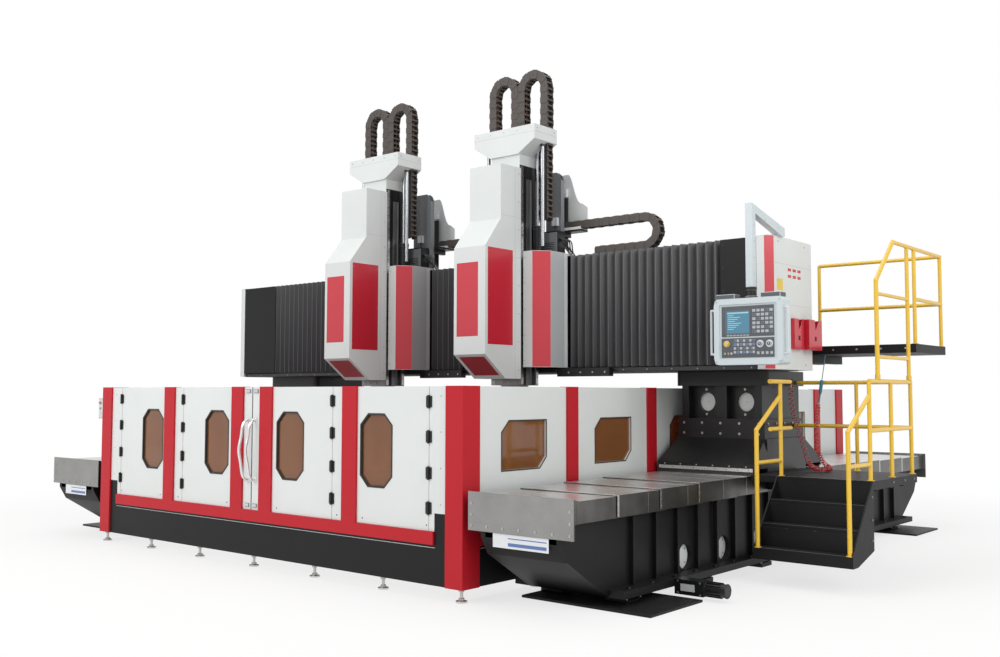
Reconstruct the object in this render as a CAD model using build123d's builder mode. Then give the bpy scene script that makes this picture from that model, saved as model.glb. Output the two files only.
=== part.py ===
"""Double column machining center with a travelling bridge and two vertical heads.

Millimetres. +X runs along the crossbeam to the operator's side, +Y runs from the front
doors to the back, +Z is up. The origin is on the floor, under the middle of the worktable.
"""

from build123d import *
from math import cos, pi, radians, sin
import os

os.makedirs("parts", exist_ok=True)

# Clearances
SEAT_GAP = 0.3
SLIDE_GAP = 0.5
RUNNING_GAP = 5.0

# Guard round the work area
GUARD_HALF_WIDTH = 2822.0
GUARD_HALF_LENGTH = 3960.0
GUARD_TOP = 1765.0
GUARD_BASE_BOTTOM = 110.0
GUARD_BASE_TOP = 445.0
GUARD_BASE_SETBACK = 20.0
SILL_TOP = 555.0
BASE_DEPTH = 120.0
PANEL_THICKNESS = 50.0
PANEL_SETBACK = 20.0
PANEL_TOP_GAP = 4.0
CORNER_WIDTH = 194.0
CORNER_DEPTH = 215.0
POST_WIDTH = 190.0
POST_DEPTH = 90.0
FRONT_POST_CENTRES = (230.0, 1442.0)
CORNER_STRIP = 138.0
CORNER_BLOCK_TOP = 705.0
SIDE_POST_WIDTH = 168.0
SIDE_POST_START = -2434.0
SIDE_POST_PITCH = 1384.0
SIDE_POST_COUNT = 5
DOOR_WINDOW_CENTRES = (590.0, 1780.0)
DOOR_WINDOW_WIDTH = 390.0
DOOR_WINDOW_HEIGHT = 630.0
DOOR_WINDOW_MIDDLE = 1200.0
WINDOW_CHAMFER = 95.0
SIDE_WINDOW_LENGTH = 617.0
SIDE_WINDOW_HEIGHT = 416.0
SIDE_WINDOW_MIDDLE = 1254.0
GLASS_THICKNESS = 8.0
GUARD_FOOT_ROWS = 6
GUARD_SIDE_FEET = 8
GUARD_FOOT_INSET = 47.0
GUARD_FOOT_RADIUS = 48.0
GUARD_FOOT_PAD = 14.0
GUARD_STUD_RADIUS = 13.0
HINGE_XS = (1200.0, 2425.0)
HINGE_ZS = (744.0, 1035.0, 1338.0, 1632.0)
HINGE_WIDTH = 64.0
HINGE_HEIGHT = 112.0
HINGE_PLATE = 8.0
HINGE_PIN_RADIUS = 11.0
HANDLE_OFFSET = 55.0
HANDLE_BOTTOM = 850.0
HANDLE_HEIGHT = 585.0
HANDLE_BOW = 90.0
HANDLE_RADIUS = 14.0
HANDLE_BOSS_RADIUS = 20.0
HANDLE_BOSS_LENGTH = 26.0
BUTTON_BOX_BOTTOM = 1400.0
BUTTON_BOX_HEIGHT = 240.0
BUTTON_BOX_WIDTH = 110.0
BUTTON_BOX_DEPTH = 90.0
BUTTON_BOX_INSET = 60.0

# Worktable
TABLE_WIDTH = 3000.0
TABLE_LENGTH = 6000.0
TABLE_TOP = 750.0
TABLE_PLATE = 190.0
TABLE_FOOT = 60.0
TABLE_WAIST_INSET = 90.0
SLOT_COUNT = 12
SLOT_WIDTH = 28.0
SLOT_NECK = 30.0
SLOT_HEAD_WIDTH = 50.0
SLOT_HEAD = 22.0

# Floor beds
BED_OFFSET = 586.0
BED_CENTRE = GUARD_HALF_WIDTH + BED_OFFSET
BED_TOP = 840.0
BED_WIDTH = 880.0
BED_TOP_SLAB = 110.0
BED_BOTTOM = 90.0
BED_WALL_OFFSET = 400.0
BED_WALL = 45.0
BED_FLANGE = 60.0
BED_FLANGE_WIDTH = 1100.0
BED_OVERHANG = 620.0
BED_NOSE_BOTTOM = 560.0
BED_NOSE_KNEE = 420.0
BED_NOSE_SETBACK = 80.0
RIB_PITCH = 353.5
RIB_THICKNESS = 30.0
RIB_HALF_COUNT = 9
BED_HOLE_RADIUS = 113.0
BED_HOLE_HEIGHT = 270.0
BED_HOLE_HALF_COUNT = 3
WAY_OFFSET = 300.0
WAY_WIDTH = 120.0
WAY_HEIGHT = 35.0
WAY_END_GAP = 60.0
BED_FOOT_ROWS = 6
BED_FOOT_INSET = 945.0
BED_FOOT_OFFSET = 330.0
BED_FOOT_PLATE = 220.0
BED_FOOT_BLOCK = 165.0
BED_FOOT_THICKNESS = 40.0
FLOOR_PLATE_THICKNESS = 20.0
FLOOR_PLATE_LENGTH = 800.0
FLOOR_PLATE_INNER = 419.0
FLOOR_PLATE_OUTER = 836.0
MOTOR_Y = -2500.0
MOTOR_HEIGHT = 92.0
MOTOR_RADIUS = 66.0
MOTOR_REACH = 462.0
MOTOR_BOX_LENGTH = 270.0
MOTOR_BOX_HALF = 62.0
MOTOR_FINS = 14

# Telescopic way covers
COVER_TOP = 915.0
COVER_WIDTH = 1020.0
COVER_SKIRT = 170.0
COVER_LENGTH = 1366.0
COVER_SHEET = 3.0
COVER_STEP = 8.5
COVER_COUNT = 4
BULKHEAD = 12.0
LIP_COUNT = 3
LIP_PITCH = 34.0
LIP_WIDTH = 22.0
LIP_STEP = 7.0
END_PLATE_THICKNESS = 14.0
END_PLATE_DROP = 310.0
END_PLATE_MARGIN = 15.0

# Bridge columns
COLUMN_FRONT = -697.0
COLUMN_DEPTH = 900.0
COLUMN_WIDTH = 970.0
COLUMN_NECK_WIDTH = 900.0
COLUMN_NECK_INSET = 20.0
COLUMN_WALL = 60.0
COLUMN_RECESS_DEPTH = 100.0
COLUMN_RECESS_WIDTH = 310.0
COLUMN_RECESS_OFFSET = 218.0
COLUMN_HOLE_RADIUS = 97.0
COLUMN_HOLE_HEIGHT = 1620.0
COLUMN_WINDOW_LENGTH = 520.0
COLUMN_WINDOW_HEIGHT = 230.0
COLUMN_CAP_BOTTOM = 1785.0
COLUMN_CAP_MARGIN = 30.0
COLUMN_CAP_RADIUS = 70.0
BEAM_BOTTOM = 1933.0
SKIRT_BOTTOM = 975.0
SKIRT_LIP = 45.0
SKIRT_TOP = 1255.0
SKIRT_REACH = 340.0
SKIRT_MARGIN = 20.0
WIPER_HEIGHT = 30.0
WIPER_THICKNESS = 12.0
COLUMN_BAND_TOP = 1450.0
CARRIAGE_LIP = 50.0

# Crossbeam
BEAM_OVERHANG = 769.0
BEAM_HALF_LENGTH = BED_CENTRE + BEAM_OVERHANG
BEAM_TOP = 3215.0
BEAM_TOP_STEP = 30.0
BEAM_FRONT = -960.0
BEAM_BACK = -190.0
BEAM_WAY_INSET = 155.0
BEAM_WAY_HALF = 60.0
BEAM_RAIL_DEPTH = 45.0
BEAM_REAR_RECESS = 40.0
BEAM_REAR_BAYS = 8
BELLOWS_FRONT = -1105.0
BELLOWS_DEPTH = 95.0
BELLOWS_BOTTOM = 1986.0
BELLOWS_PITCH = 96.0
END_COVER_THICKNESS = 148.0
END_COVER_STEP = 5.0
END_CHAMFER = 67.0
END_REAR_CHAMFER = 25.0

# Saddles
LEFT_HEAD_X = -815.0
RIGHT_HEAD_X = 1275.0
SADDLE_WIDTH = 1010.0
SADDLE_FRONT = -1545.0
SADDLE_CHAMFER = 140.0
SADDLE_SHEET = 40.0
SADDLE_BOTTOM = 1985.0
SADDLE_TOP = 3240.0
SADDLE_BLOCK_INSET = 30.0
DRIVE_BOX = (131.0, 451.0)
DRIVE_BOX_DEPTH = 130.0
DRIVE_BOX_HEIGHT = 280.0
POST_PLATE = (180.0, 390.0)
POST_PLATE_DEPTH = 54.0
POST_PLATE_TOP = 4172.0
TRAY_REACH = 600.0
TRAY_HEIGHT = 90.0
TRAY_DROP = 8.0
BALANCE_OFFSET = 262.0
BALANCE_Y = -1310.0
BALANCE_RADIUS = 56.0
BALANCE_BORE = 37.0
BALANCE_BOTTOM = 2600.0
BALANCE_TOP = 3540.0
BALANCE_FLOOR = 50.0
BALANCE_ROD_RADIUS = 30.0
BALANCE_ROD_BOTTOM = 3440.0
GUIDE_ROD_OFFSET = 385.0
GUIDE_ROD_Y = -1390.0
GUIDE_ROD_RADIUS = 20.0
GUIDE_ROD_BOTTOM = 3300.0

# Heads
HEAD_WIDTH = 440.0
HEAD_FRONT = -2150.0
HEAD_BOTTOM = 2110.0
HEAD_CHIN_DROP = 250.0
HEAD_CHIN_REACH = 330.0
HEAD_SHOULDER = 3245.0
HEAD_SLOPE_TOP = 3560.0
HEAD_UPPER_FRONT = -1900.0
HEAD_UPPER_TOP = 4150.0
RAM_WIDTH = 400.0
RAM_FRONT = -1560.0
RAM_DEPTH = 330.0
RAM_BOTTOM = 1790.0
RAM_TOP = 4050.0
RAM_GROOVE = 90.0
RAM_GROOVE_DEPTH = 14.0
QUILL_RADIUS = 105.0
QUILL_BOTTOM = 1560.0
QUILL_COLLAR_RADIUS = 150.0
QUILL_COLLAR_HEIGHT = 55.0
QUILL_NOSE_RADIUS = 64.0
QUILL_NOSE_HEIGHT = 70.0
CAP_HALF_WIDTH = 430.0
CAP_FRONT = -1590.0
CAP_BACK = -1190.0
CAP_TOP = 4610.0
CAP_END_BOTTOM = 4450.0
CAP_NECK_TOP = 4310.0

# Drag chains
CHAIN_THICKNESS = 90.0
CHAIN_WIDTH = 110.0
LINK_PITCH = 62.0
LINK_STEP = 14.0
LINK_LAP = 4.0
CHAIN_SLOT_GAP = 6.0
LOOP_OFFSET = 207.0
LOOP_RADIUS = 160.0
LOOP_TOP = 5290.0
RAM_CHAIN_BACK = -1236.0
RAM_CHAIN_END = 3600.0
TROUGH_STARTS = {"left": 220.0, "right": 290.0}
TROUGH_LENGTH = 327.0
TROUGH_BOTTOM = 3515.0
TROUGH_TOP = 4172.0
TROUGH_SHEET = 8.0
TROUGH_SIDE_GAP = 10.0
SUPPORT_THICKNESS = 22.0
LANE_FRONTS = {"left": -820.0, "right": -990.0}
SADDLE_CHAIN_START = 400.0
SADDLE_CHAIN_RUN = 1018.0
SADDLE_CHAIN_RADIUS = 152.0
SADDLE_CHAIN_RETURN = 620.0

# Pendant
PENDANT_X = BEAM_HALF_LENGTH - 2.0
PENDANT_Y = -1520.0
ARM_SIZE = 70.0
ARM_FOOT_Y = -899.0
ARM_FOOT_TOP = 3290.0
ARM_ELBOW_TOP = 3455.0
ARM_FLANGE = 120.0
ARM_FLANGE_THICKNESS = 20.0
PENDANT_WIDTH = 680.0
PENDANT_HEIGHT = 608.0
PENDANT_DEPTH = 170.0
PENDANT_BOTTOM = 1967.0
PENDANT_CORNER = 35.0
PENDANT_NECK_RADIUS = 45.0
PENDANT_NECK_HEIGHT = 75.0
BEZEL_WIDTH = 570.0
BEZEL_HEIGHT = 500.0
BEZEL_DEPTH = 12.0
BEZEL_CORNER = 15.0
GRIP_REACH = 45.0
GRIP_SIZE = 24.0
GRIP_HEIGHT = 430.0
TOP_BOX_OFFSETS = (-235.0, 215.0)
TOP_BOX = (190.0, 120.0, 45.0)

# Platforms, stair and railings
LOWER_FLOOR = 935.0
LOWER_START = 792.0
LOWER_WIDTH = 910.0
LOWER_X = (BED_CENTRE + LOWER_START, BED_CENTRE + LOWER_START + LOWER_WIDTH)
LOWER_Y = (-1105.0, 42.0)
LOWER_BOTTOM = 855.0
LOWER_DECK = 60.0
GUSSET_THICKNESS = 40.0
GUSSET_SETBACK = 120.0
STAIR_STEPS = 3
STAIR_REACH = 490.0
STAIR_BOTTOM = 230.0
STAIR_BACK = 330.0
STAIR_TOE = 110.0
STRINGER = 14.0
TREAD_THICKNESS = 30.0
TREAD_DEPTH = 160.0
UPPER_FLOOR = 2195.0
UPPER_SLAB = 85.0
UPPER_INNER = 490.0
UPPER_Y = (100.0, 1010.0)
UPPER_BRACKET_WIDTH = 80.0
UPPER_BRACKET_OFFSETS = (450.0, 250.0)
UPPER_BRACKET_DROP = 80.0
RAIL_RADIUS = 20.0
RAIL_BEND = 1.5
POST_RADIUS = 18.5
LOWER_RAIL_TOP = 1818.0
LOWER_RAIL_MIDDLE = 1378.0
UPPER_RAIL_TOP = 3140.0
UPPER_RAIL_MIDDLE = 2640.0
HANDRAIL_DROP = 130.0
HANDRAIL_BAR = 1082.0
STUB_REACH = 220.0
GATE_FRONT_Y = -850.0
GATE_KNEE = 2738.0
GATE_TOP_Y = -400.0
GATE_REAR_Y = -21.0
GATE_RUNG = 2041.0

# Tool holders, air hose and gun
HOLDER_YS = ((-690.0, -470.0), (-440.0, -130.0))
HOLDER_REACHES = (40.0, 80.0)
HOLDER_Z = (2140.0, 2440.0)
HOLDER_SHEET = 6.0
HOLDER_NOTCH = 110.0
HOLDER_HOLE = 46.0
HOSE_RADIUS = 26.0
HOSE_BOSS = 52.0
HOSE_POINTS = (
    (3949.0, -206.0, 1800.0),
    (3949.0, -206.0, 1650.0),
    (3985.0, -222.0, 1480.0),
    (4060.0, -238.0, 1280.0),
    (4120.0, -262.0, 1110.0),
    (4190.0, -320.0, 985.0),
    (4290.0, -380.0, 963.0),
    (4385.0, -330.0, 963.0),
    (4372.0, -235.0, 968.0),
    (4290.0, -230.0, 1015.0),
    (4250.0, -269.0, 1125.0),
    (4243.0, -263.0, 1300.0),
    (4236.6, -242.6, 1470.5),
    (4226.0, -165.0, 1610.0),
)
GUN_RADIUS = 17.0
GUN_LENGTH = 260.0
HOOK_RADIUS = 4.0

SIDES = (-1, 1)
HEADS = (("left", LEFT_HEAD_X), ("right", RIGHT_HEAD_X))
BED_HALF_LENGTH = GUARD_HALF_LENGTH - END_PLATE_THICKNESS - SEAT_GAP
COLUMN_BACK = COLUMN_FRONT + COLUMN_DEPTH
COLUMN_MIDDLE = (COLUMN_FRONT + COLUMN_BACK) / 2


def block(x, y, z, mode=Mode.ADD):
    """Adds a rectangular block that spans the given pairs to the part being built."""
    with Locations(((x[0] + x[1]) / 2, (y[0] + y[1]) / 2, (z[0] + z[1]) / 2)):
        Box(abs(x[1] - x[0]), abs(y[1] - y[0]), abs(z[1] - z[0]), mode=mode)


def mirrored(value, side):
    """A pair of coordinates on one side of the machine, in rising order."""
    return tuple(sorted((side * value[0], side * value[1])))


def around(middle, half):
    """A pair of coordinates at the same distance on both sides of a middle."""
    return (middle - half, middle + half)


def tube(start, end, radius=RAIL_RADIUS):
    """Adds a round bar between two points to the part being built."""
    direction = Vector(*end) - Vector(*start)
    with Locations(Plane(origin=tuple(start), z_dir=direction)):
        Cylinder(radius, direction.length, align=(Align.CENTER, Align.CENTER, Align.MIN))


def rail(points, radius=RAIL_RADIUS):
    """Adds a run of round bars through the points, with a ball at each bend."""
    for start, end in zip(points, points[1:]):
        tube(start, end, radius)
    with Locations(*points[1:-1]):
        Sphere(radius + RAIL_BEND)


def save(piece, name):
    """Labels a finished piece and writes it."""
    piece.part.label = name
    export_step(piece.part, "parts/" + name + ".step")


# Worktable: a casting with T-slots along its length
slot_pitch = TABLE_WIDTH / SLOT_COUNT
table_half = (TABLE_WIDTH / 2, TABLE_LENGTH / 2)
with BuildPart() as worktable:
    block(around(0, table_half[0]), around(0, table_half[1]), (TABLE_TOP - TABLE_PLATE, TABLE_TOP))
    block(around(0, table_half[0] - TABLE_WAIST_INSET), around(0, table_half[1] - TABLE_WAIST_INSET),
          (TABLE_FOOT, TABLE_TOP - TABLE_PLATE))
    block(around(0, table_half[0]), around(0, table_half[1]), (0, TABLE_FOOT))
    with BuildSketch(Plane.XZ.offset(table_half[1])):
        for index in range(SLOT_COUNT):
            slot_x = (index - (SLOT_COUNT - 1) / 2) * slot_pitch
            with Locations((slot_x, TABLE_TOP - SLOT_NECK / 2)):
                Rectangle(SLOT_WIDTH, SLOT_NECK)
            with Locations((slot_x, TABLE_TOP - SLOT_NECK - SLOT_HEAD / 2)):
                Rectangle(SLOT_HEAD_WIDTH, SLOT_HEAD)
    extrude(amount=-TABLE_LENGTH, mode=Mode.SUBTRACT)
save(worktable, "worktable")


# Guard: black base, red posts and sill, white panels and folding leaves
def window_outline(width, height, corners):
    """Draws a window outline with the named corners cut off; corners are (x, z) signs."""
    points = []
    for sx, sz in ((1, 1), (-1, 1), (-1, -1), (1, -1)):
        cx, cz = sx * width / 2, sz * height / 2
        if (sx, sz) in corners:
            first = (cx, cz - sz * WINDOW_CHAMFER)
            second = (cx - sx * WINDOW_CHAMFER, cz)
            points += [first, second] if sx * sz > 0 else [second, first]
        else:
            points.append((cx, cz))
    Polygon(*points, align=None)


ALL_CORNERS = ((1, 1), (-1, 1), (-1, -1), (1, -1))
SIDE_CORNERS = ((-1, 1), (1, -1))

inner_half_width = GUARD_HALF_WIDTH - BASE_DEPTH
inner_half_length = GUARD_HALF_LENGTH - BASE_DEPTH
post_inner_x = GUARD_HALF_WIDTH - CORNER_WIDTH
post_inner_y = GUARD_HALF_LENGTH - CORNER_DEPTH
strip_inner = post_inner_x - CORNER_STRIP
with BuildPart() as guard_base:
    for side in SIDES:
        base_y = mirrored((inner_half_length, GUARD_HALF_LENGTH - GUARD_BASE_SETBACK), side)
        block(around(0, post_inner_x - SEAT_GAP), base_y, (GUARD_BASE_BOTTOM, GUARD_BASE_TOP))
        for sx in SIDES:
            block(mirrored((strip_inner, post_inner_x - SEAT_GAP), sx), base_y,
                  (GUARD_BASE_TOP, CORNER_BLOCK_TOP))
        block(mirrored((inner_half_width, GUARD_HALF_WIDTH - GUARD_BASE_SETBACK), side),
              around(0, post_inner_y - SEAT_GAP), (GUARD_BASE_BOTTOM, GUARD_BASE_TOP))
save(guard_base, "guard_base")

side_end = post_inner_y - SEAT_GAP
side_post_ys = [SIDE_POST_START + index * SIDE_POST_PITCH for index in range(SIDE_POST_COUNT)]
with BuildPart() as guard_frame:
    for sy in SIDES:
        block(around(0, strip_inner - SEAT_GAP), mirrored((inner_half_length, GUARD_HALF_LENGTH), sy),
              (GUARD_BASE_TOP, SILL_TOP))
        for sx in SIDES:
            block(mirrored((post_inner_x, GUARD_HALF_WIDTH), sx),
                  mirrored((post_inner_y, GUARD_HALF_LENGTH), sy), (GUARD_BASE_BOTTOM, GUARD_TOP))
            for centre in FRONT_POST_CENTRES:
                block(mirrored(around(centre, POST_WIDTH / 2), sx),
                      mirrored((GUARD_HALF_LENGTH - POST_DEPTH, GUARD_HALF_LENGTH), sy),
                      (SILL_TOP, GUARD_TOP))
    for sx in SIDES:
        block(mirrored((inner_half_width, GUARD_HALF_WIDTH), sx), around(0, side_end),
              (GUARD_BASE_TOP, SILL_TOP))
        for post_y in side_post_ys:
            block(mirrored((GUARD_HALF_WIDTH - POST_DEPTH, GUARD_HALF_WIDTH), sx),
                  around(post_y, SIDE_POST_WIDTH / 2), (SILL_TOP, GUARD_TOP))
save(guard_frame, "guard_frame")

inner_post, outer_post = FRONT_POST_CENTRES
wall_edges = ((inner_post + POST_WIDTH / 2, outer_post - POST_WIDTH / 2),
              (outer_post + POST_WIDTH / 2, strip_inner))
panel_y = (GUARD_HALF_LENGTH - PANEL_SETBACK - PANEL_THICKNESS, GUARD_HALF_LENGTH - PANEL_SETBACK)
panel_z = (SILL_TOP + SEAT_GAP, GUARD_TOP - PANEL_TOP_GAP)


def wall_leaves(side_y):
    """Adds the leaves and the narrow strips of the front or back wall."""
    for sx in SIDES:
        for start, end in wall_edges:
            block(mirrored((start + SEAT_GAP, end - SEAT_GAP), sx), mirrored(panel_y, side_y), panel_z)
        block(mirrored((strip_inner + SEAT_GAP, post_inner_x - SEAT_GAP), sx), mirrored(panel_y, side_y),
              (CORNER_BLOCK_TOP + SEAT_GAP, panel_z[1]))
    block(around(0, inner_post - POST_WIDTH / 2 - SEAT_GAP), mirrored(panel_y, side_y), panel_z)


def door_windows(clearance):
    """Draws the windows of the front leaves."""
    for sx in SIDES:
        for centre in DOOR_WINDOW_CENTRES:
            with Locations((sx * centre, DOOR_WINDOW_MIDDLE)):
                window_outline(DOOR_WINDOW_WIDTH - 2 * clearance, DOOR_WINDOW_HEIGHT - 2 * clearance,
                               ALL_CORNERS)


with BuildPart() as front_leaves:
    wall_leaves(-1)
    with BuildSketch(Plane.XZ.offset(panel_y[1])):
        door_windows(0)
    extrude(amount=-PANEL_THICKNESS, mode=Mode.SUBTRACT)
save(front_leaves, "front_leaves")

with BuildPart() as rear_panels:
    wall_leaves(1)
save(rear_panels, "rear_panels")

side_bays = []
bay_start = -side_end
for post_y in side_post_ys:
    side_bays.append((bay_start, post_y - SIDE_POST_WIDTH / 2))
    bay_start = post_y + SIDE_POST_WIDTH / 2
side_bays.append((bay_start, side_end))

side_panel_x = (GUARD_HALF_WIDTH - PANEL_SETBACK - PANEL_THICKNESS, GUARD_HALF_WIDTH - PANEL_SETBACK)
side_window_ys = [(start + end) / 2 for start, end in side_bays[:-1]]
with BuildPart() as side_panels:
    for sx in SIDES:
        for start, end in side_bays:
            block(mirrored(side_panel_x, sx), (start + SEAT_GAP, end - SEAT_GAP), panel_z)
    with BuildSketch(Plane.YZ):
        for window_y in side_window_ys:
            with Locations((window_y, SIDE_WINDOW_MIDDLE)):
                window_outline(SIDE_WINDOW_LENGTH, SIDE_WINDOW_HEIGHT, SIDE_CORNERS)
    extrude(amount=GUARD_HALF_WIDTH, both=True, mode=Mode.SUBTRACT)
save(side_panels, "side_panels")

glass_inset = PANEL_THICKNESS / 2
with BuildPart() as guard_windows:
    with BuildSketch(Plane.XZ.offset(panel_y[1] - glass_inset)):
        door_windows(SEAT_GAP)
    extrude(amount=GLASS_THICKNESS)
    for sx in SIDES:
        with BuildSketch(Plane.YZ.offset(sx * (side_panel_x[1] - glass_inset))):
            for window_y in side_window_ys:
                with Locations((window_y, SIDE_WINDOW_MIDDLE)):
                    window_outline(SIDE_WINDOW_LENGTH - 2 * SEAT_GAP, SIDE_WINDOW_HEIGHT - 2 * SEAT_GAP,
                                   SIDE_CORNERS)
        extrude(amount=GLASS_THICKNESS)
save(guard_windows, "guard_windows")

foot_half_width = GUARD_HALF_WIDTH - GUARD_FOOT_INSET - GUARD_BASE_SETBACK
foot_half_length = GUARD_HALF_LENGTH - GUARD_FOOT_INSET - GUARD_BASE_SETBACK
with BuildPart() as guard_feet:
    places = []
    for index in range(GUARD_FOOT_ROWS + 1):
        foot_x = -foot_half_width + 2 * foot_half_width * index / GUARD_FOOT_ROWS
        places += [(foot_x, -foot_half_length), (foot_x, foot_half_length)]
    for index in range(1, GUARD_SIDE_FEET):
        foot_y = -foot_half_length + 2 * foot_half_length * index / GUARD_SIDE_FEET
        places += [(-foot_half_width, foot_y), (foot_half_width, foot_y)]
    with Locations(*[(x, y, 0) for x, y in places]):
        Cylinder(GUARD_FOOT_RADIUS, GUARD_FOOT_PAD, align=(Align.CENTER, Align.CENTER, Align.MIN))
        Cylinder(GUARD_STUD_RADIUS, GUARD_BASE_BOTTOM - SEAT_GAP,
                 align=(Align.CENTER, Align.CENTER, Align.MIN))
save(guard_feet, "guard_feet")

leaf_front = -panel_y[1]
with BuildPart() as leaf_hinges:
    for sx in SIDES:
        for hinge_x in HINGE_XS:
            for hinge_z in HINGE_ZS:
                block(around(sx * hinge_x, HINGE_WIDTH / 2),
                      (leaf_front - SEAT_GAP - HINGE_PLATE, leaf_front - SEAT_GAP),
                      around(hinge_z, HINGE_HEIGHT / 2 - HINGE_PLATE))
                with Locations((sx * hinge_x, leaf_front - SEAT_GAP - HINGE_PIN_RADIUS, hinge_z)):
                    Cylinder(HINGE_PIN_RADIUS, HINGE_HEIGHT)
save(leaf_hinges, "leaf_hinges")

handle_y = leaf_front - SEAT_GAP - HANDLE_BOSS_LENGTH
with BuildPart() as door_handles:
    for sx in SIDES:
        with BuildLine() as bow:
            Spline((sx * HANDLE_OFFSET, handle_y, HANDLE_BOTTOM),
                   (sx * HANDLE_OFFSET, handle_y - 0.7 * HANDLE_BOW, HANDLE_BOTTOM + HANDLE_HEIGHT / 4),
                   (sx * HANDLE_OFFSET, handle_y - HANDLE_BOW, HANDLE_BOTTOM + HANDLE_HEIGHT / 2),
                   (sx * HANDLE_OFFSET, handle_y - 0.7 * HANDLE_BOW, HANDLE_BOTTOM + 3 * HANDLE_HEIGHT / 4),
                   (sx * HANDLE_OFFSET, handle_y, HANDLE_BOTTOM + HANDLE_HEIGHT),
                   tangents=((0, -1, 0.4), (0, 1, 0.4)))
        with BuildSketch(Plane(origin=bow.line @ 0, z_dir=bow.line % 0)):
            Circle(HANDLE_RADIUS)
        sweep(path=bow.line)
        for end_z in (HANDLE_BOTTOM, HANDLE_BOTTOM + HANDLE_HEIGHT):
            tube((sx * HANDLE_OFFSET, leaf_front - SEAT_GAP, end_z),
                 (sx * HANDLE_OFFSET, handle_y - HANDLE_RADIUS / 2, end_z), HANDLE_BOSS_RADIUS)
save(door_handles, "door_handles")

with BuildPart() as button_box:
    box_front = -GUARD_HALF_LENGTH + BUTTON_BOX_INSET
    block((-GUARD_HALF_WIDTH - SEAT_GAP - BUTTON_BOX_DEPTH, -GUARD_HALF_WIDTH - SEAT_GAP),
          (box_front, box_front + BUTTON_BOX_WIDTH),
          (BUTTON_BOX_BOTTOM, BUTTON_BOX_BOTTOM + BUTTON_BOX_HEIGHT))
    fillet(button_box.edges().filter_by(Axis.Z), radius=BUTTON_BOX_DEPTH / 8)
save(button_box, "button_box")

# Floor beds: ribbed box castings with core holes, overhanging noses and two ways
rib_ys = [(index + 0.5) * RIB_PITCH for index in range(-RIB_HALF_COUNT, RIB_HALF_COUNT)]
bed_hole_ys = [2 * index * RIB_PITCH for index in range(-BED_HOLE_HALF_COUNT, BED_HOLE_HALF_COUNT + 1)]
bed_foot_half = BED_HALF_LENGTH - BED_OVERHANG


def bed_wall_profile():
    """Draws the long wall of a bed, with its noses and its core holes."""
    Polygon((-BED_HALF_LENGTH, BED_TOP), (BED_HALF_LENGTH, BED_TOP), (BED_HALF_LENGTH, BED_NOSE_BOTTOM),
            (BED_HALF_LENGTH - BED_NOSE_SETBACK, BED_NOSE_KNEE), (bed_foot_half, BED_BOTTOM),
            (-bed_foot_half, BED_BOTTOM), (-BED_HALF_LENGTH + BED_NOSE_SETBACK, BED_NOSE_KNEE),
            (-BED_HALF_LENGTH, BED_NOSE_BOTTOM), align=None)
    with Locations(*[(hole_y, BED_HOLE_HEIGHT) for hole_y in bed_hole_ys]):
        Circle(BED_HOLE_RADIUS, mode=Mode.SUBTRACT)


with BuildPart() as beds:
    for sx in SIDES:
        centre = sx * BED_CENTRE
        for side in SIDES:
            wall_start = centre + side * BED_WALL_OFFSET
            with BuildSketch(Plane.YZ.offset(wall_start)):
                bed_wall_profile()
            extrude(amount=-side * BED_WALL)
        block(around(centre, BED_WIDTH / 2), around(0, BED_HALF_LENGTH), (BED_TOP - BED_TOP_SLAB, BED_TOP))
        for sy in SIDES:
            nose = (BED_HALF_LENGTH - BED_NOSE_SETBACK - BED_WALL, BED_HALF_LENGTH)
            block(around(centre, BED_WALL_OFFSET), mirrored(nose, sy), (BED_NOSE_BOTTOM, BED_TOP))
        for side in SIDES:
            flange_x = mirrored((BED_WALL_OFFSET - 2 * BED_WALL, BED_FLANGE_WIDTH / 2), side)
            block((centre + flange_x[0], centre + flange_x[1]), around(0, bed_foot_half),
                  (BED_BOTTOM, BED_BOTTOM + BED_FLANGE))
        for rib_y in rib_ys:
            block(around(centre, BED_WIDTH / 2), around(rib_y, RIB_THICKNESS / 2), (BED_BOTTOM, BED_TOP))
        for way in SIDES:
            block(around(centre + way * WAY_OFFSET, WAY_WIDTH / 2), around(0, BED_HALF_LENGTH - WAY_END_GAP),
                  (BED_TOP, BED_TOP + WAY_HEIGHT))
save(beds, "beds")

foot_span = BED_HALF_LENGTH - BED_FOOT_INSET
with BuildPart() as bed_feet:
    for sx in SIDES:
        for row in range(BED_FOOT_ROWS):
            foot_y = -foot_span + 2 * foot_span * row / (BED_FOOT_ROWS - 1)
            for way in SIDES:
                foot_x = sx * BED_CENTRE + way * BED_FOOT_OFFSET
                block(around(foot_x, BED_FOOT_PLATE / 2), around(foot_y, BED_FOOT_PLATE / 2),
                      (0, BED_FOOT_THICKNESS))
                block(around(foot_x, BED_FOOT_BLOCK / 2), around(foot_y, BED_FOOT_BLOCK / 2),
                      (BED_FOOT_THICKNESS, BED_BOTTOM - SEAT_GAP))
        for sy in SIDES:
            plate_x = mirrored((BED_CENTRE - FLOOR_PLATE_INNER, BED_CENTRE + FLOOR_PLATE_OUTER), sx)
            block(plate_x, around(sy * foot_span, FLOOR_PLATE_LENGTH / 2), (0, FLOOR_PLATE_THICKNESS))
save(bed_feet, "bed_feet")

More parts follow.
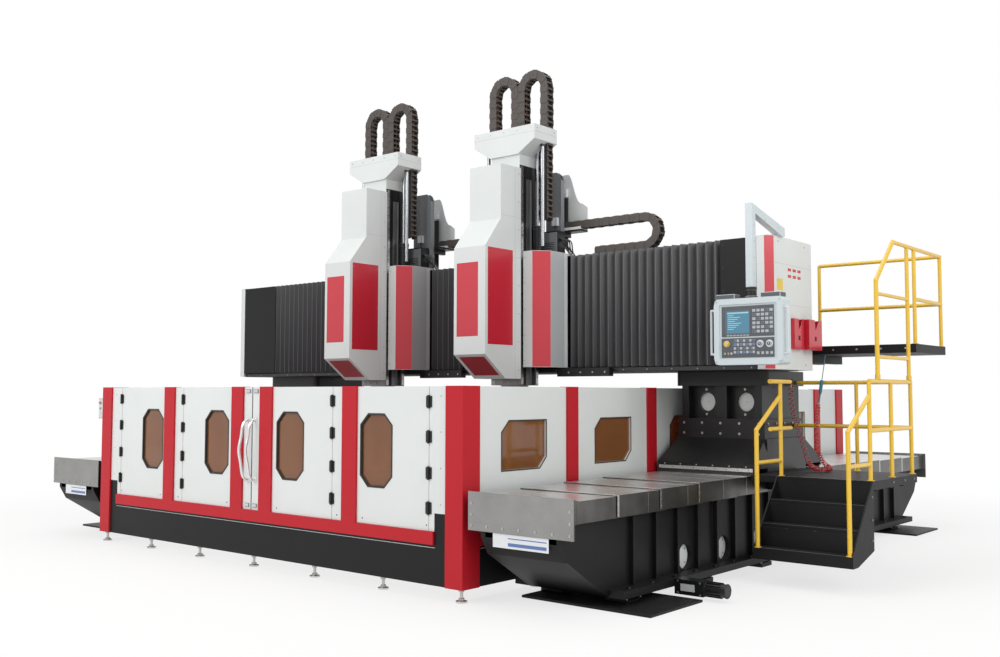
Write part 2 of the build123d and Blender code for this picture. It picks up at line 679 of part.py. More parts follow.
motor_root = BED_CENTRE + BED_FLANGE_WIDTH / 2 + SEAT_GAP
motor_shell = (motor_root + MOTOR_BOX_LENGTH, motor_root + MOTOR_REACH)
with BuildPart() as floor_motor:
    block((motor_root, motor_shell[0]), around(MOTOR_Y, MOTOR_BOX_HALF), around(MOTOR_HEIGHT, MOTOR_BOX_HALF))
    tube((motor_shell[0], MOTOR_Y, MOTOR_HEIGHT), (motor_shell[1], MOTOR_Y, MOTOR_HEIGHT),
         0.85 * MOTOR_RADIUS)
    for index in range(MOTOR_FINS):
        place = Location((motor_shell[0], MOTOR_Y, MOTOR_HEIGHT), (360 * index / MOTOR_FINS, 0, 0))
        with Locations(place * Location((MOTOR_REACH * 0.16, 0, MOTOR_RADIUS * 0.85))):
            Box(MOTOR_REACH * 0.3, MOTOR_RADIUS * 0.08, MOTOR_RADIUS * 0.3)
save(floor_motor, "floor_motor")


# Telescopic way covers, the inner boxes at the bed ends and the outer ones at the bridge
def way_cover(sx, sy, index, start):
    """Makes one cover box; start is its outer end's distance from the middle of the machine."""
    step = (COVER_COUNT - 1 - index) * COVER_STEP
    half = COVER_WIDTH / 2 - step
    top = COVER_TOP - step
    centre = sx * BED_CENTRE
    with BuildPart() as box:
        with BuildSketch(Plane.XZ.offset(-sy * start)):
            with Locations((centre, top - COVER_SKIRT / 2)):
                Rectangle(2 * half, COVER_SKIRT)
            with Locations((centre, top - COVER_SHEET - COVER_SKIRT / 2)):
                Rectangle(2 * half - 2 * COVER_SHEET, COVER_SKIRT, mode=Mode.SUBTRACT)
        extrude(amount=sy * COVER_LENGTH)
        inner_end = start - COVER_LENGTH
        block(around(centre, half - COVER_SHEET), mirrored((inner_end, inner_end + BULKHEAD), sy),
              (BED_TOP + WAY_HEIGHT + SEAT_GAP, top - COVER_SHEET))
    return box.part


front_reach = GUARD_HALF_LENGTH + COLUMN_FRONT - SEAT_GAP
rear_reach = GUARD_HALF_LENGTH - COLUMN_BACK - SEAT_GAP


def cover_start(reach, index):
    """Distance from the middle of the machine to the outer end of one cover box at rest."""
    return GUARD_HALF_LENGTH - index * (reach - COVER_LENGTH) / (COVER_COUNT - 1)


with BuildPart() as fixed_way_covers:
    for sx in SIDES:
        centre = sx * BED_CENTRE
        inner_half = COVER_WIDTH / 2 - (COVER_COUNT - 1) * COVER_STEP
        inner_top = COVER_TOP - (COVER_COUNT - 1) * COVER_STEP
        for sy in SIDES:
            box_end = GUARD_HALF_LENGTH - END_PLATE_THICKNESS
            add(way_cover(sx, sy, 0, box_end))
            block(around(centre, COVER_WIDTH / 2 + END_PLATE_MARGIN),
                  mirrored((box_end, GUARD_HALF_LENGTH), sy), (COVER_TOP - END_PLATE_DROP, COVER_TOP))
            for lip in range(LIP_COUNT):
                lip_end = box_end - lip * LIP_PITCH
                rise = (LIP_COUNT - lip) * LIP_STEP
                lip_y = mirrored((lip_end - LIP_WIDTH, lip_end), sy)
                block(around(centre, inner_half + rise), lip_y, (inner_top - COVER_SHEET, inner_top + rise))
                for side in SIDES:
                    lip_x = mirrored((inner_half - COVER_SHEET, inner_half + rise), side)
                    block((centre + lip_x[0], centre + lip_x[1]), lip_y, (inner_top - COVER_SKIRT, inner_top))
save(fixed_way_covers, "fixed_way_covers")

for end_name, sy, reach in (("front", -1, front_reach), ("rear", 1, rear_reach)):
    for index in range(1, COVER_COUNT - 1):
        with BuildPart() as cover:
            for sx in SIDES:
                add(way_cover(sx, sy, index, cover_start(reach, index)))
        save(cover, end_name + "_way_cover_" + str(index))

with BuildPart() as moving_way_covers:
    for sx in SIDES:
        for sy, reach in ((-1, front_reach), (1, rear_reach)):
            add(way_cover(sx, sy, COVER_COUNT - 1, cover_start(reach, COVER_COUNT - 1)))
save(moving_way_covers, "moving_way_covers")

# Bridge columns: carriage, flared skirt, band, hollow neck with core holes, and cap
neck_y = (COLUMN_FRONT + COLUMN_NECK_INSET, COLUMN_BACK - COLUMN_NECK_INSET)
neck_half = COLUMN_NECK_WIDTH / 2
cap_half = COLUMN_WIDTH / 2 + COLUMN_CAP_MARGIN
core_y = (neck_y[0] + COLUMN_RECESS_DEPTH + COLUMN_WALL, neck_y[1] - COLUMN_RECESS_DEPTH - COLUMN_WALL)
shoe_bottom = BED_TOP + WAY_HEIGHT + SLIDE_GAP
skirt_size = (COVER_WIDTH + 2 * SKIRT_MARGIN, COLUMN_DEPTH + 2 * SKIRT_REACH)
with BuildPart() as columns:
    for sx in SIDES:
        centre = sx * BED_CENTRE
        block(around(centre, COVER_WIDTH / 2), (COLUMN_FRONT, COLUMN_BACK), (shoe_bottom, SKIRT_TOP))
        for side in SIDES:
            lip_x = mirrored((COVER_WIDTH / 2 - CARRIAGE_LIP, COVER_WIDTH / 2), side)
            block((centre + lip_x[0], centre + lip_x[1]), (COLUMN_FRONT, COLUMN_BACK),
                  (COVER_TOP - COVER_SKIRT, shoe_bottom + COVER_SHEET))
        with BuildSketch(Plane.XY.offset(SKIRT_BOTTOM)):
            with Locations((centre, COLUMN_MIDDLE)):
                Rectangle(*skirt_size)
        extrude(amount=SKIRT_LIP)
        with BuildSketch(Plane.XY.offset(SKIRT_BOTTOM + SKIRT_LIP)):
            with Locations((centre, COLUMN_MIDDLE)):
                Rectangle(*skirt_size)
        with BuildSketch(Plane.XY.offset(SKIRT_TOP)):
            with Locations((centre, COLUMN_MIDDLE)):
                Rectangle(COLUMN_WIDTH, COLUMN_DEPTH)
        loft()
        for wiper_y in around(COLUMN_MIDDLE, (skirt_size[1] - WIPER_THICKNESS) / 2):
            block(around(centre, skirt_size[0] / 2), around(wiper_y, WIPER_THICKNESS / 2),
                  (SKIRT_BOTTOM - WIPER_HEIGHT, SKIRT_BOTTOM))
        block(around(centre, COLUMN_WIDTH / 2), (COLUMN_FRONT, COLUMN_BACK), (SKIRT_TOP, COLUMN_BAND_TOP))
        block(around(centre, neck_half), neck_y, (COLUMN_BAND_TOP, COLUMN_CAP_BOTTOM))
        with BuildSketch(Plane.XY.offset(COLUMN_CAP_BOTTOM)):
            with Locations((centre, COLUMN_MIDDLE)):
                RectangleRounded(2 * cap_half, COLUMN_DEPTH + COLUMN_CAP_MARGIN, COLUMN_CAP_RADIUS)
        extrude(amount=BEAM_BOTTOM - SEAT_GAP - COLUMN_CAP_BOTTOM)
        block(around(centre, neck_half - COLUMN_WALL), core_y, (COLUMN_BAND_TOP, COLUMN_CAP_BOTTOM),
              mode=Mode.SUBTRACT)
        block(around(centre, COLUMN_WALL / 2), core_y, (COLUMN_BAND_TOP, COLUMN_CAP_BOTTOM))
        for offset in around(0, COLUMN_RECESS_OFFSET):
            recess_x = around(centre + offset, COLUMN_RECESS_WIDTH / 2)
            for recess_y in ((neck_y[0], neck_y[0] + COLUMN_RECESS_DEPTH),
                             (neck_y[1] - COLUMN_RECESS_DEPTH, neck_y[1])):
                block(recess_x, recess_y, (COLUMN_BAND_TOP, COLUMN_CAP_BOTTOM), mode=Mode.SUBTRACT)
        with BuildSketch(Plane.XZ.offset(-neck_y[0])):
            for offset in around(0, COLUMN_RECESS_OFFSET):
                with Locations((centre + offset, COLUMN_HOLE_HEIGHT)):
                    Circle(COLUMN_HOLE_RADIUS)
        extrude(amount=-(neck_y[1] - neck_y[0]), mode=Mode.SUBTRACT)
        inner_wall = mirrored((BED_CENTRE - neck_half, BED_CENTRE - neck_half + COLUMN_WALL), sx)
        block(inner_wall, around(COLUMN_MIDDLE, COLUMN_WINDOW_LENGTH / 2),
              around(COLUMN_HOLE_HEIGHT, COLUMN_WINDOW_HEIGHT / 2), mode=Mode.SUBTRACT)
    boss_x = BED_CENTRE + cap_half
    block((boss_x, boss_x + HOSE_BOSS), around(HOSE_POINTS[0][1], HOSE_BOSS / 2),
          (HOSE_POINTS[0][2], HOSE_POINTS[0][2] + HOSE_BOSS))
save(columns, "columns")

# Crossbeam with two front ways, a lower ledge and a panelled back
beam_inner_half = BEAM_HALF_LENGTH - END_COVER_THICKNESS
rear_bay = 2 * beam_inner_half / BEAM_REAR_BAYS
with BuildPart() as crossbeam:
    block(around(0, beam_inner_half), (BEAM_FRONT, BEAM_BACK), (BEAM_BOTTOM, BEAM_TOP - BEAM_TOP_STEP))
    for way_z in (BEAM_BOTTOM + BEAM_WAY_INSET + BEAM_WAY_HALF, BEAM_TOP - BEAM_WAY_INSET):
        block(around(0, beam_inner_half), (BEAM_FRONT - BEAM_RAIL_DEPTH, BEAM_FRONT),
              around(way_z, BEAM_WAY_HALF))
    block(around(0, beam_inner_half), (BELLOWS_FRONT + BEAM_TOP_STEP, BEAM_FRONT),
          (BEAM_BOTTOM, BELLOWS_BOTTOM - RUNNING_GAP - SEAT_GAP))
    for index in range(BEAM_REAR_BAYS):
        bay_middle = (index - (BEAM_REAR_BAYS - 1) / 2) * rear_bay
        block(around(bay_middle, rear_bay / 2 - BEAM_WAY_HALF), (BEAM_BACK - BEAM_REAR_RECESS, BEAM_BACK),
              (UPPER_FLOOR + BEAM_WAY_INSET, BEAM_TOP - BEAM_WAY_INSET), mode=Mode.SUBTRACT)
save(crossbeam, "crossbeam")

end_cover_top = BEAM_TOP + END_COVER_STEP
with BuildPart() as beam_end_covers:
    for sx in SIDES:
        with BuildSketch(Plane.XY.offset(BEAM_BOTTOM + END_COVER_STEP)):
            with BuildLine():
                inner = sx * (beam_inner_half + SEAT_GAP)
                outer = sx * BEAM_HALF_LENGTH
                front = BELLOWS_FRONT - END_COVER_STEP
                back = BEAM_BACK + END_REAR_CHAMFER
                Polyline((inner, front), (outer - sx * END_CHAMFER, front), (outer, front + END_CHAMFER),
                         (outer, BEAM_BACK), (outer - sx * END_REAR_CHAMFER, back), (inner, back), close=True)
            make_face()
        extrude(amount=BEAM_TOP - BEAM_BOTTOM)
save(beam_end_covers, "beam_end_covers")


# Pleated bellows on the beam front
def bellows(name, start, end):
    """Writes one pleated cover between two X positions."""
    pleats = max(1, round((end - start) / BELLOWS_PITCH))
    pitch = (end - start) / pleats
    back = BELLOWS_FRONT + BELLOWS_DEPTH
    valley = BELLOWS_FRONT + 0.6 * BELLOWS_DEPTH
    with BuildPart() as cover:
        with BuildSketch(Plane.XY.offset(BELLOWS_BOTTOM)):
            with BuildLine():
                points = [(start, back), (start, valley)]
                for index in range(pleats):
                    points.append((start + (index + 0.35) * pitch, BELLOWS_FRONT))
                    points.append((start + (index + 0.65) * pitch, BELLOWS_FRONT))
                    points.append((start + (index + 1) * pitch, valley))
                points.append((end, back))
                Polyline(*points, close=True)
            make_face()
        extrude(amount=BEAM_TOP - BELLOWS_BOTTOM)
    save(cover, name)


saddle_half = SADDLE_WIDTH / 2
bellows_middle = (LEFT_HEAD_X + RIGHT_HEAD_X) / 2
bellows("left_bellows", -beam_inner_half + SEAT_GAP, LEFT_HEAD_X - saddle_half - SEAT_GAP)
bellows("middle_left_bellows", LEFT_HEAD_X + saddle_half + SEAT_GAP, bellows_middle)
bellows("middle_right_bellows", bellows_middle + SEAT_GAP, RIGHT_HEAD_X - saddle_half - SEAT_GAP)
bellows("right_bellows", RIGHT_HEAD_X + saddle_half + SEAT_GAP, beam_inner_half - SEAT_GAP)


# Drag chains: each link is a plate, every second one narrower
def link_places(start, heading, moves):
    """Middles, headings and lengths of the links along a path of moves (length, turn in degrees)."""
    x, z = start
    places = []
    for length, turn in moves:
        count = max(1, round(length / LINK_PITCH))
        pitch = length / count
        for _ in range(count):
            heading += turn / count / 2
            angle = radians(heading)
            places.append((x + pitch / 2 * cos(angle), z + pitch / 2 * sin(angle), heading, pitch))
            x += pitch * cos(angle)
            z += pitch * sin(angle)
            heading += turn / count / 2
    return places


def draw_links(places):
    """Draws the side view of a chain in the sketch being built."""
    for index, (x, z, heading, pitch) in enumerate(places):
        with Locations((x, z)):
            Rectangle(pitch + LINK_LAP, CHAIN_THICKNESS - (index % 2) * LINK_STEP, rotation=heading)


def loop_moves(end):
    """Moves of a chain loop that rises from the cap to its bend and comes down to the given height."""
    bend_start = LOOP_TOP - LOOP_RADIUS - CHAIN_THICKNESS / 2
    return ((bend_start - CAP_TOP - SEAT_GAP, 0), (pi * LOOP_RADIUS, -180), (bend_start - end, 0))


# Saddles and heads
for side_name, head_x in HEADS:
    block_front = RAM_FRONT + RAM_DEPTH + SLIDE_GAP
    block_back = BEAM_FRONT - BEAM_RAIL_DEPTH - SLIDE_GAP
    block_top = SADDLE_TOP - SADDLE_BLOCK_INSET
    lane_front = LANE_FRONTS[side_name]
    lane_back = lane_front + CHAIN_WIDTH + TROUGH_SIDE_GAP
    plate_x = (head_x + POST_PLATE[0], head_x + POST_PLATE[1])
    start_x = head_x + TROUGH_STARTS[side_name]
    end_x = start_x + TROUGH_LENGTH
    with BuildPart() as saddle:
        block(around(head_x, saddle_half - SADDLE_SHEET), (block_front, block_back),
              (SADDLE_BOTTOM + SADDLE_BLOCK_INSET, block_top))
        drive_front = block_front + SADDLE_BLOCK_INSET
        block((head_x + DRIVE_BOX[0], head_x + DRIVE_BOX[1]), (drive_front, drive_front + DRIVE_BOX_DEPTH),
              (block_top, block_top + DRIVE_BOX_HEIGHT))
        with BuildSketch(Plane.XZ.offset(-block_back)):
            post_bottom = (plate_x[0], block_top)
            Polygon(post_bottom, (plate_x[1], block_top), (plate_x[1], POST_PLATE_TOP - 90),
                    (plate_x[1] - 70, POST_PLATE_TOP), (plate_x[0], POST_PLATE_TOP), align=None)
        extrude(amount=POST_PLATE_DEPTH)
        block((plate_x[1] - POST_PLATE_DEPTH, end_x), (block_back, lane_back),
              (TROUGH_BOTTOM - SUPPORT_THICKNESS, TROUGH_BOTTOM))
        block((plate_x[1] - POST_PLATE_DEPTH, plate_x[1]), (block_back - POST_PLATE_DEPTH, lane_back),
              (TROUGH_BOTTOM - 3 * SUPPORT_THICKNESS, TROUGH_BOTTOM))
        hanger_x = head_x + saddle_half - 2 * SADDLE_SHEET
        tray_y = (BELLOWS_FRONT - 2 * SADDLE_SHEET, BELLOWS_FRONT)
        tray_top = SADDLE_BOTTOM - TRAY_DROP
        block((hanger_x, head_x + saddle_half + TRAY_REACH), tray_y, (tray_top - TRAY_HEIGHT, tray_top))
        block((hanger_x, hanger_x + SADDLE_SHEET - SEAT_GAP), tray_y,
              (tray_top, SADDLE_BOTTOM + SADDLE_BLOCK_INSET))
        for side in SIDES:
            balance_x = head_x + side * BALANCE_OFFSET
            for strap_z in (BALANCE_BOTTOM + BALANCE_FLOOR, block_top - BALANCE_RADIUS):
                block(around(balance_x, BALANCE_BORE), (BALANCE_Y, block_front + SLIDE_GAP),
                      around(strap_z, BALANCE_FLOOR / 2))
            with BuildSketch(Plane.XY.offset(BALANCE_BOTTOM)):
                with Locations((balance_x, BALANCE_Y)):
                    Circle(BALANCE_RADIUS)
            extrude(amount=BALANCE_TOP - BALANCE_BOTTOM)
            with BuildSketch(Plane.XY.offset(BALANCE_TOP)):
                with Locations((balance_x, BALANCE_Y)):
                    Circle(BALANCE_BORE)
            extrude(amount=-(BALANCE_TOP - BALANCE_BOTTOM - BALANCE_FLOOR), mode=Mode.SUBTRACT)
    save(saddle, side_name + "_saddle")

    with BuildPart() as saddle_cover:
        for sx in SIDES:
            with BuildSketch(Plane.XY.offset(SADDLE_BOTTOM)):
                with BuildLine():
                    outer = head_x + sx * saddle_half
                    inner = outer - sx * (SADDLE_SHEET - SEAT_GAP)
                    mouth = head_x + sx * (HEAD_WIDTH / 2 + SADDLE_SHEET / 2)
                    back = BELLOWS_FRONT + BELLOWS_DEPTH
                    Polyline((inner, back), (outer, back), (outer, SADDLE_FRONT + SADDLE_CHAMFER),
                             (outer - sx * SADDLE_CHAMFER, SADDLE_FRONT), (mouth, SADDLE_FRONT),
                             (mouth, SADDLE_FRONT + SADDLE_SHEET / 2),
                             (outer - sx * SADDLE_CHAMFER, SADDLE_FRONT + SADDLE_SHEET / 2),
                             (inner, SADDLE_FRONT + SADDLE_CHAMFER + SADDLE_SHEET / 2), close=True)
                make_face()
            extrude(amount=SADDLE_TOP - SADDLE_BOTTOM)
    save(saddle_cover, side_name + "_saddle_cover")

    with BuildPart() as chain_trough:
        trough_bottom = TROUGH_BOTTOM + SEAT_GAP
        with BuildSketch(Plane.XZ.offset(-lane_back)):
            with BuildLine():
                crest = (start_x + 60, TROUGH_TOP)
                knee = (end_x - 70, TROUGH_TOP - 350)
                Line((start_x, trough_bottom), (start_x, TROUGH_TOP))
                Line((start_x, TROUGH_TOP), crest)
                Bezier(crest, (crest[0] + 70, TROUGH_TOP), (knee[0] - 110, knee[1]), knee)
                Line(knee, (end_x, TROUGH_TOP - 400))
                Line((end_x, TROUGH_TOP - 400), (end_x, trough_bottom))
                Line((end_x, trough_bottom), (start_x, trough_bottom))
            make_face()
        extrude(amount=TROUGH_SHEET)
        block((start_x, end_x), (lane_front - TROUGH_SIDE_GAP, lane_back),
              (trough_bottom, trough_bottom + TROUGH_SHEET))
    save(chain_trough, side_name + "_chain_trough")

    run_z = trough_bottom + TROUGH_SHEET + SEAT_GAP + CHAIN_THICKNESS / 2
    with BuildPart() as saddle_chain:
        with BuildSketch(Plane.XZ.offset(-lane_front - CHAIN_WIDTH)):
            draw_links(link_places((head_x + SADDLE_CHAIN_START, run_z), 0,
                                   ((SADDLE_CHAIN_RUN, 0), (pi * SADDLE_CHAIN_RADIUS, -180),
                                    (SADDLE_CHAIN_RETURN, 0))))
        extrude(amount=CHAIN_WIDTH)
    save(saddle_chain, side_name + "_saddle_chain")

    with BuildPart() as ram:
        block(around(head_x, RAM_WIDTH / 2), (RAM_FRONT, RAM_FRONT + RAM_DEPTH), (RAM_BOTTOM, RAM_TOP))
        ram_middle = RAM_FRONT + RAM_DEPTH / 2
        for side in SIDES:
            groove_x = mirrored((RAM_WIDTH / 2 - RAM_GROOVE_DEPTH, RAM_WIDTH / 2), side)
            block((head_x + groove_x[0], head_x + groove_x[1]), around(ram_middle, RAM_GROOVE / 2),
                  (RAM_BOTTOM, RAM_TOP), mode=Mode.SUBTRACT)
        nose_top = QUILL_BOTTOM + QUILL_NOSE_HEIGHT
        collar_bottom = RAM_BOTTOM - QUILL_COLLAR_HEIGHT
        for radius, bottom in ((QUILL_COLLAR_RADIUS, collar_bottom), (QUILL_RADIUS, nose_top)):
            with BuildSketch(Plane.XY.offset(bottom)):
                with Locations((head_x, ram_middle)):
                    Circle(radius)
            extrude(amount=RAM_BOTTOM - bottom)
        with BuildSketch(Plane.XY.offset(QUILL_BOTTOM)):
            with Locations((head_x, ram_middle)):
                Circle(QUILL_NOSE_RADIUS)
        with BuildSketch(Plane.XY.offset(nose_top)):
            with Locations((head_x, ram_middle)):
                Circle(QUILL_RADIUS)
        loft()
    save(ram, side_name + "_ram")

    with BuildPart() as head_cover:
        head_back = RAM_FRONT - SEAT_GAP
        chin = HEAD_BOTTOM - HEAD_CHIN_DROP
        with BuildSketch(Plane.YZ.offset(head_x - HEAD_WIDTH / 2)):
            Polygon((HEAD_FRONT, HEAD_BOTTOM), (HEAD_FRONT, HEAD_SHOULDER),
                    (HEAD_UPPER_FRONT, HEAD_SLOPE_TOP), (HEAD_UPPER_FRONT, HEAD_UPPER_TOP),
                    (head_back, HEAD_UPPER_TOP), (head_back, chin),
                    (HEAD_FRONT + HEAD_CHIN_REACH, chin), align=None)
        extrude(amount=HEAD_WIDTH)
    save(head_cover, side_name + "_head_cover")

    with BuildPart() as head_cap:
        neck_bottom = RAM_TOP + SEAT_GAP
        with BuildSketch(Plane.XZ.offset(-CAP_BACK)):
            cap_left, cap_right = around(head_x, CAP_HALF_WIDTH)
            neck_left, neck_right = around(head_x, RAM_WIDTH / 2)
            Polygon((cap_left, CAP_TOP), (cap_left, CAP_END_BOTTOM), (neck_left, CAP_NECK_TOP),
                    (neck_right, CAP_NECK_TOP), (cap_right, CAP_END_BOTTOM), (cap_right, CAP_TOP), align=None)
        extrude(amount=CAP_BACK - CAP_FRONT)
        block((neck_left, neck_right), (RAM_FRONT, RAM_FRONT + RAM_DEPTH), (neck_bottom, CAP_NECK_TOP))
        for side in SIDES:
            tube((head_x + side * BALANCE_OFFSET, BALANCE_Y, BALANCE_ROD_BOTTOM),
                 (head_x + side * BALANCE_OFFSET, BALANCE_Y, CAP_END_BOTTOM), BALANCE_ROD_RADIUS)
            tube((head_x + side * GUIDE_ROD_OFFSET, GUIDE_ROD_Y, GUIDE_ROD_BOTTOM),
                 (head_x + side * GUIDE_ROD_OFFSET, GUIDE_ROD_Y, CAP_TOP - GUIDE_ROD_RADIUS),
                 GUIDE_ROD_RADIUS)
        leg_x = head_x + LOOP_OFFSET + LOOP_RADIUS
        block(around(leg_x, CHAIN_THICKNESS / 2 + CHAIN_SLOT_GAP),
              (RAM_CHAIN_BACK - CHAIN_WIDTH - CHAIN_SLOT_GAP, RAM_CHAIN_BACK + CHAIN_SLOT_GAP),
              (CAP_NECK_TOP, CAP_TOP), mode=Mode.SUBTRACT)
    save(head_cap, side_name + "_head_cap")

    with BuildPart() as ram_chains:
        with BuildSketch(Plane.XZ.offset(-RAM_CHAIN_BACK)):
            for side, end in ((-1, CAP_TOP + SEAT_GAP), (1, RAM_CHAIN_END)):
                foot = (head_x + side * LOOP_OFFSET - LOOP_RADIUS, CAP_TOP + SEAT_GAP)
                draw_links(link_places(foot, 90, loop_moves(end)))
            for leg in (-LOOP_OFFSET - LOOP_RADIUS, -LOOP_OFFSET + LOOP_RADIUS, LOOP_OFFSET - LOOP_RADIUS):
                with Locations((head_x + leg, CAP_TOP + SEAT_GAP - CHAIN_THICKNESS / 2)):
                    Rectangle(CHAIN_THICKNESS, CHAIN_THICKNESS, mode=Mode.SUBTRACT)
        extrude(amount=CHAIN_WIDTH)
    save(ram_chains, side_name + "_ram_chains")

# Pendant on its arm
arm_x = around(PENDANT_X, ARM_SIZE / 2)
arm_root = end_cover_top + SEAT_GAP
neck_top = PENDANT_BOTTOM + PENDANT_HEIGHT + PENDANT_NECK_HEIGHT
with BuildPart() as pendant_arm:
    with BuildSketch(Plane.YZ.offset(arm_x[0])):
        foot_front, foot_back = around(ARM_FOOT_Y, ARM_SIZE / 2)
        drop_front, drop_back = around(PENDANT_Y, ARM_SIZE / 2)
        Polygon((foot_front, arm_root), (foot_back, arm_root), (foot_back, ARM_FOOT_TOP + ARM_SIZE / 8),
                (drop_front, ARM_ELBOW_TOP), (drop_front, neck_top), (drop_back, neck_top),
                (drop_back, ARM_ELBOW_TOP - 1.3 * ARM_SIZE), (foot_front, ARM_FOOT_TOP - ARM_SIZE),
                align=None)
    extrude(amount=ARM_SIZE)
    block((BEAM_HALF_LENGTH - ARM_FLANGE, BEAM_HALF_LENGTH), around(ARM_FOOT_Y, ARM_FLANGE / 2),
          (arm_root, arm_root + ARM_FLANGE_THICKNESS))
save(pendant_arm, "pendant_arm")

pendant_top = PENDANT_BOTTOM + PENDANT_HEIGHT
pendant_middle = PENDANT_BOTTOM + PENDANT_HEIGHT / 2
with BuildPart() as pendant_housing:
    with BuildSketch(Plane.XZ.offset(-PENDANT_Y - PENDANT_DEPTH / 2)):
        with Locations((PENDANT_X, pendant_middle)):
            RectangleRounded(PENDANT_WIDTH, PENDANT_HEIGHT, PENDANT_CORNER)
    extrude(amount=PENDANT_DEPTH)
    with BuildSketch(Plane.XZ.offset(-PENDANT_Y + PENDANT_DEPTH / 2)):
        with Locations((PENDANT_X, pendant_middle)):
            RectangleRounded(BEZEL_WIDTH, BEZEL_HEIGHT, BEZEL_CORNER)
    extrude(amount=-BEZEL_DEPTH, mode=Mode.SUBTRACT)
    tube((PENDANT_X, PENDANT_Y, pendant_top), (PENDANT_X, PENDANT_Y, neck_top - SEAT_GAP),
         PENDANT_NECK_RADIUS)
    for offset in TOP_BOX_OFFSETS:
        block(around(PENDANT_X + offset, TOP_BOX[0] / 2), around(PENDANT_Y, TOP_BOX[1] / 2),
              (pendant_top, pendant_top + TOP_BOX[2]))
    for side in SIDES:
        edge = PENDANT_WIDTH / 2
        grip_x = mirrored((edge + GRIP_REACH - GRIP_SIZE, edge + GRIP_REACH), side)
        block((PENDANT_X + grip_x[0], PENDANT_X + grip_x[1]), around(PENDANT_Y, GRIP_SIZE / 2),
              around(pendant_middle, GRIP_HEIGHT / 2))
        for end_z in around(pendant_middle, GRIP_HEIGHT / 2 - GRIP_SIZE / 2):
            stand_x = mirrored((edge, edge + GRIP_REACH), side)
            block((PENDANT_X + stand_x[0], PENDANT_X + stand_x[1]), around(PENDANT_Y, GRIP_SIZE / 2),
                  around(end_z, GRIP_SIZE / 2))
save(pendant_housing, "pendant_housing")

# Lower platform on the carriage side, with its stair and railing
carriage_side = BED_CENTRE + COVER_WIDTH / 2
with BuildPart() as lower_platform:
    block(LOWER_X, LOWER_Y, (LOWER_BOTTOM, LOWER_FLOOR))
    deck_bottom = LOWER_FLOOR - LOWER_DECK
    block((carriage_side + SKIRT_MARGIN + RUNNING_GAP, LOWER_X[0]), LOWER_Y, (deck_bottom, LOWER_FLOOR))
    link_bottom = COVER_TOP - COVER_SKIRT + SKIRT_MARGIN
    block((carriage_side + SEAT_GAP, LOWER_X[0]), (COLUMN_FRONT, LOWER_Y[1]), (link_bottom, deck_bottom))
    for gusset_y in (COLUMN_FRONT, (COLUMN_FRONT + LOWER_Y[1]) / 2, LOWER_Y[1] - GUSSET_THICKNESS):
        with BuildSketch(Plane.XZ.offset(-gusset_y)):
            Polygon((LOWER_X[0], link_bottom), (LOWER_X[0], LOWER_BOTTOM),
                    (LOWER_X[1] - GUSSET_SETBACK, LOWER_BOTTOM),
                    (LOWER_X[1] - GUSSET_SETBACK, LOWER_BOTTOM - GUSSET_THICKNESS), align=None)
        extrude(amount=-GUSSET_THICKNESS)
save(lower_platform, "lower_platform")

stair_y = LOWER_Y[0] - SEAT_GAP
rise = (LOWER_FLOOR - STAIR_BOTTOM) / (STAIR_STEPS + 0.5)
with BuildPart() as stair:
    for side in SIDES:
        start = LOWER_X[0] if side < 0 else LOWER_X[1] - STRINGER
        with BuildSketch(Plane.YZ.offset(start)):
            Polygon((stair_y, LOWER_FLOOR), (stair_y, STAIR_BACK),
                    (stair_y - STAIR_REACH + STAIR_TOE, STAIR_BOTTOM), (stair_y - STAIR_REACH, STAIR_BOTTOM),
                    (stair_y - STAIR_REACH, STAIR_BOTTOM + STAIR_TOE), align=None)
        extrude(amount=STRINGER)
    for step in range(STAIR_STEPS):
        tread_top = LOWER_FLOOR - (step + 1) * rise
        tread_front = stair_y - (step + 1) * STAIR_REACH / STAIR_STEPS
        block((LOWER_X[0] + STRINGER, LOWER_X[1] - STRINGER), (tread_front, tread_front + TREAD_DEPTH),
              (tread_top - TREAD_THICKNESS, tread_top))
        block((LOWER_X[0] + STRINGER, LOWER_X[1] - STRINGER),
              (tread_front + TREAD_DEPTH - STRINGER, tread_front + TREAD_DEPTH),
              (tread_top, tread_top + rise - TREAD_THICKNESS))
    block((LOWER_X[0] + STRINGER, LOWER_X[1] - STRINGER), (tread_front, tread_front + STRINGER),
          (STAIR_BOTTOM, tread_top - TREAD_THICKNESS))
save(stair, "stair")

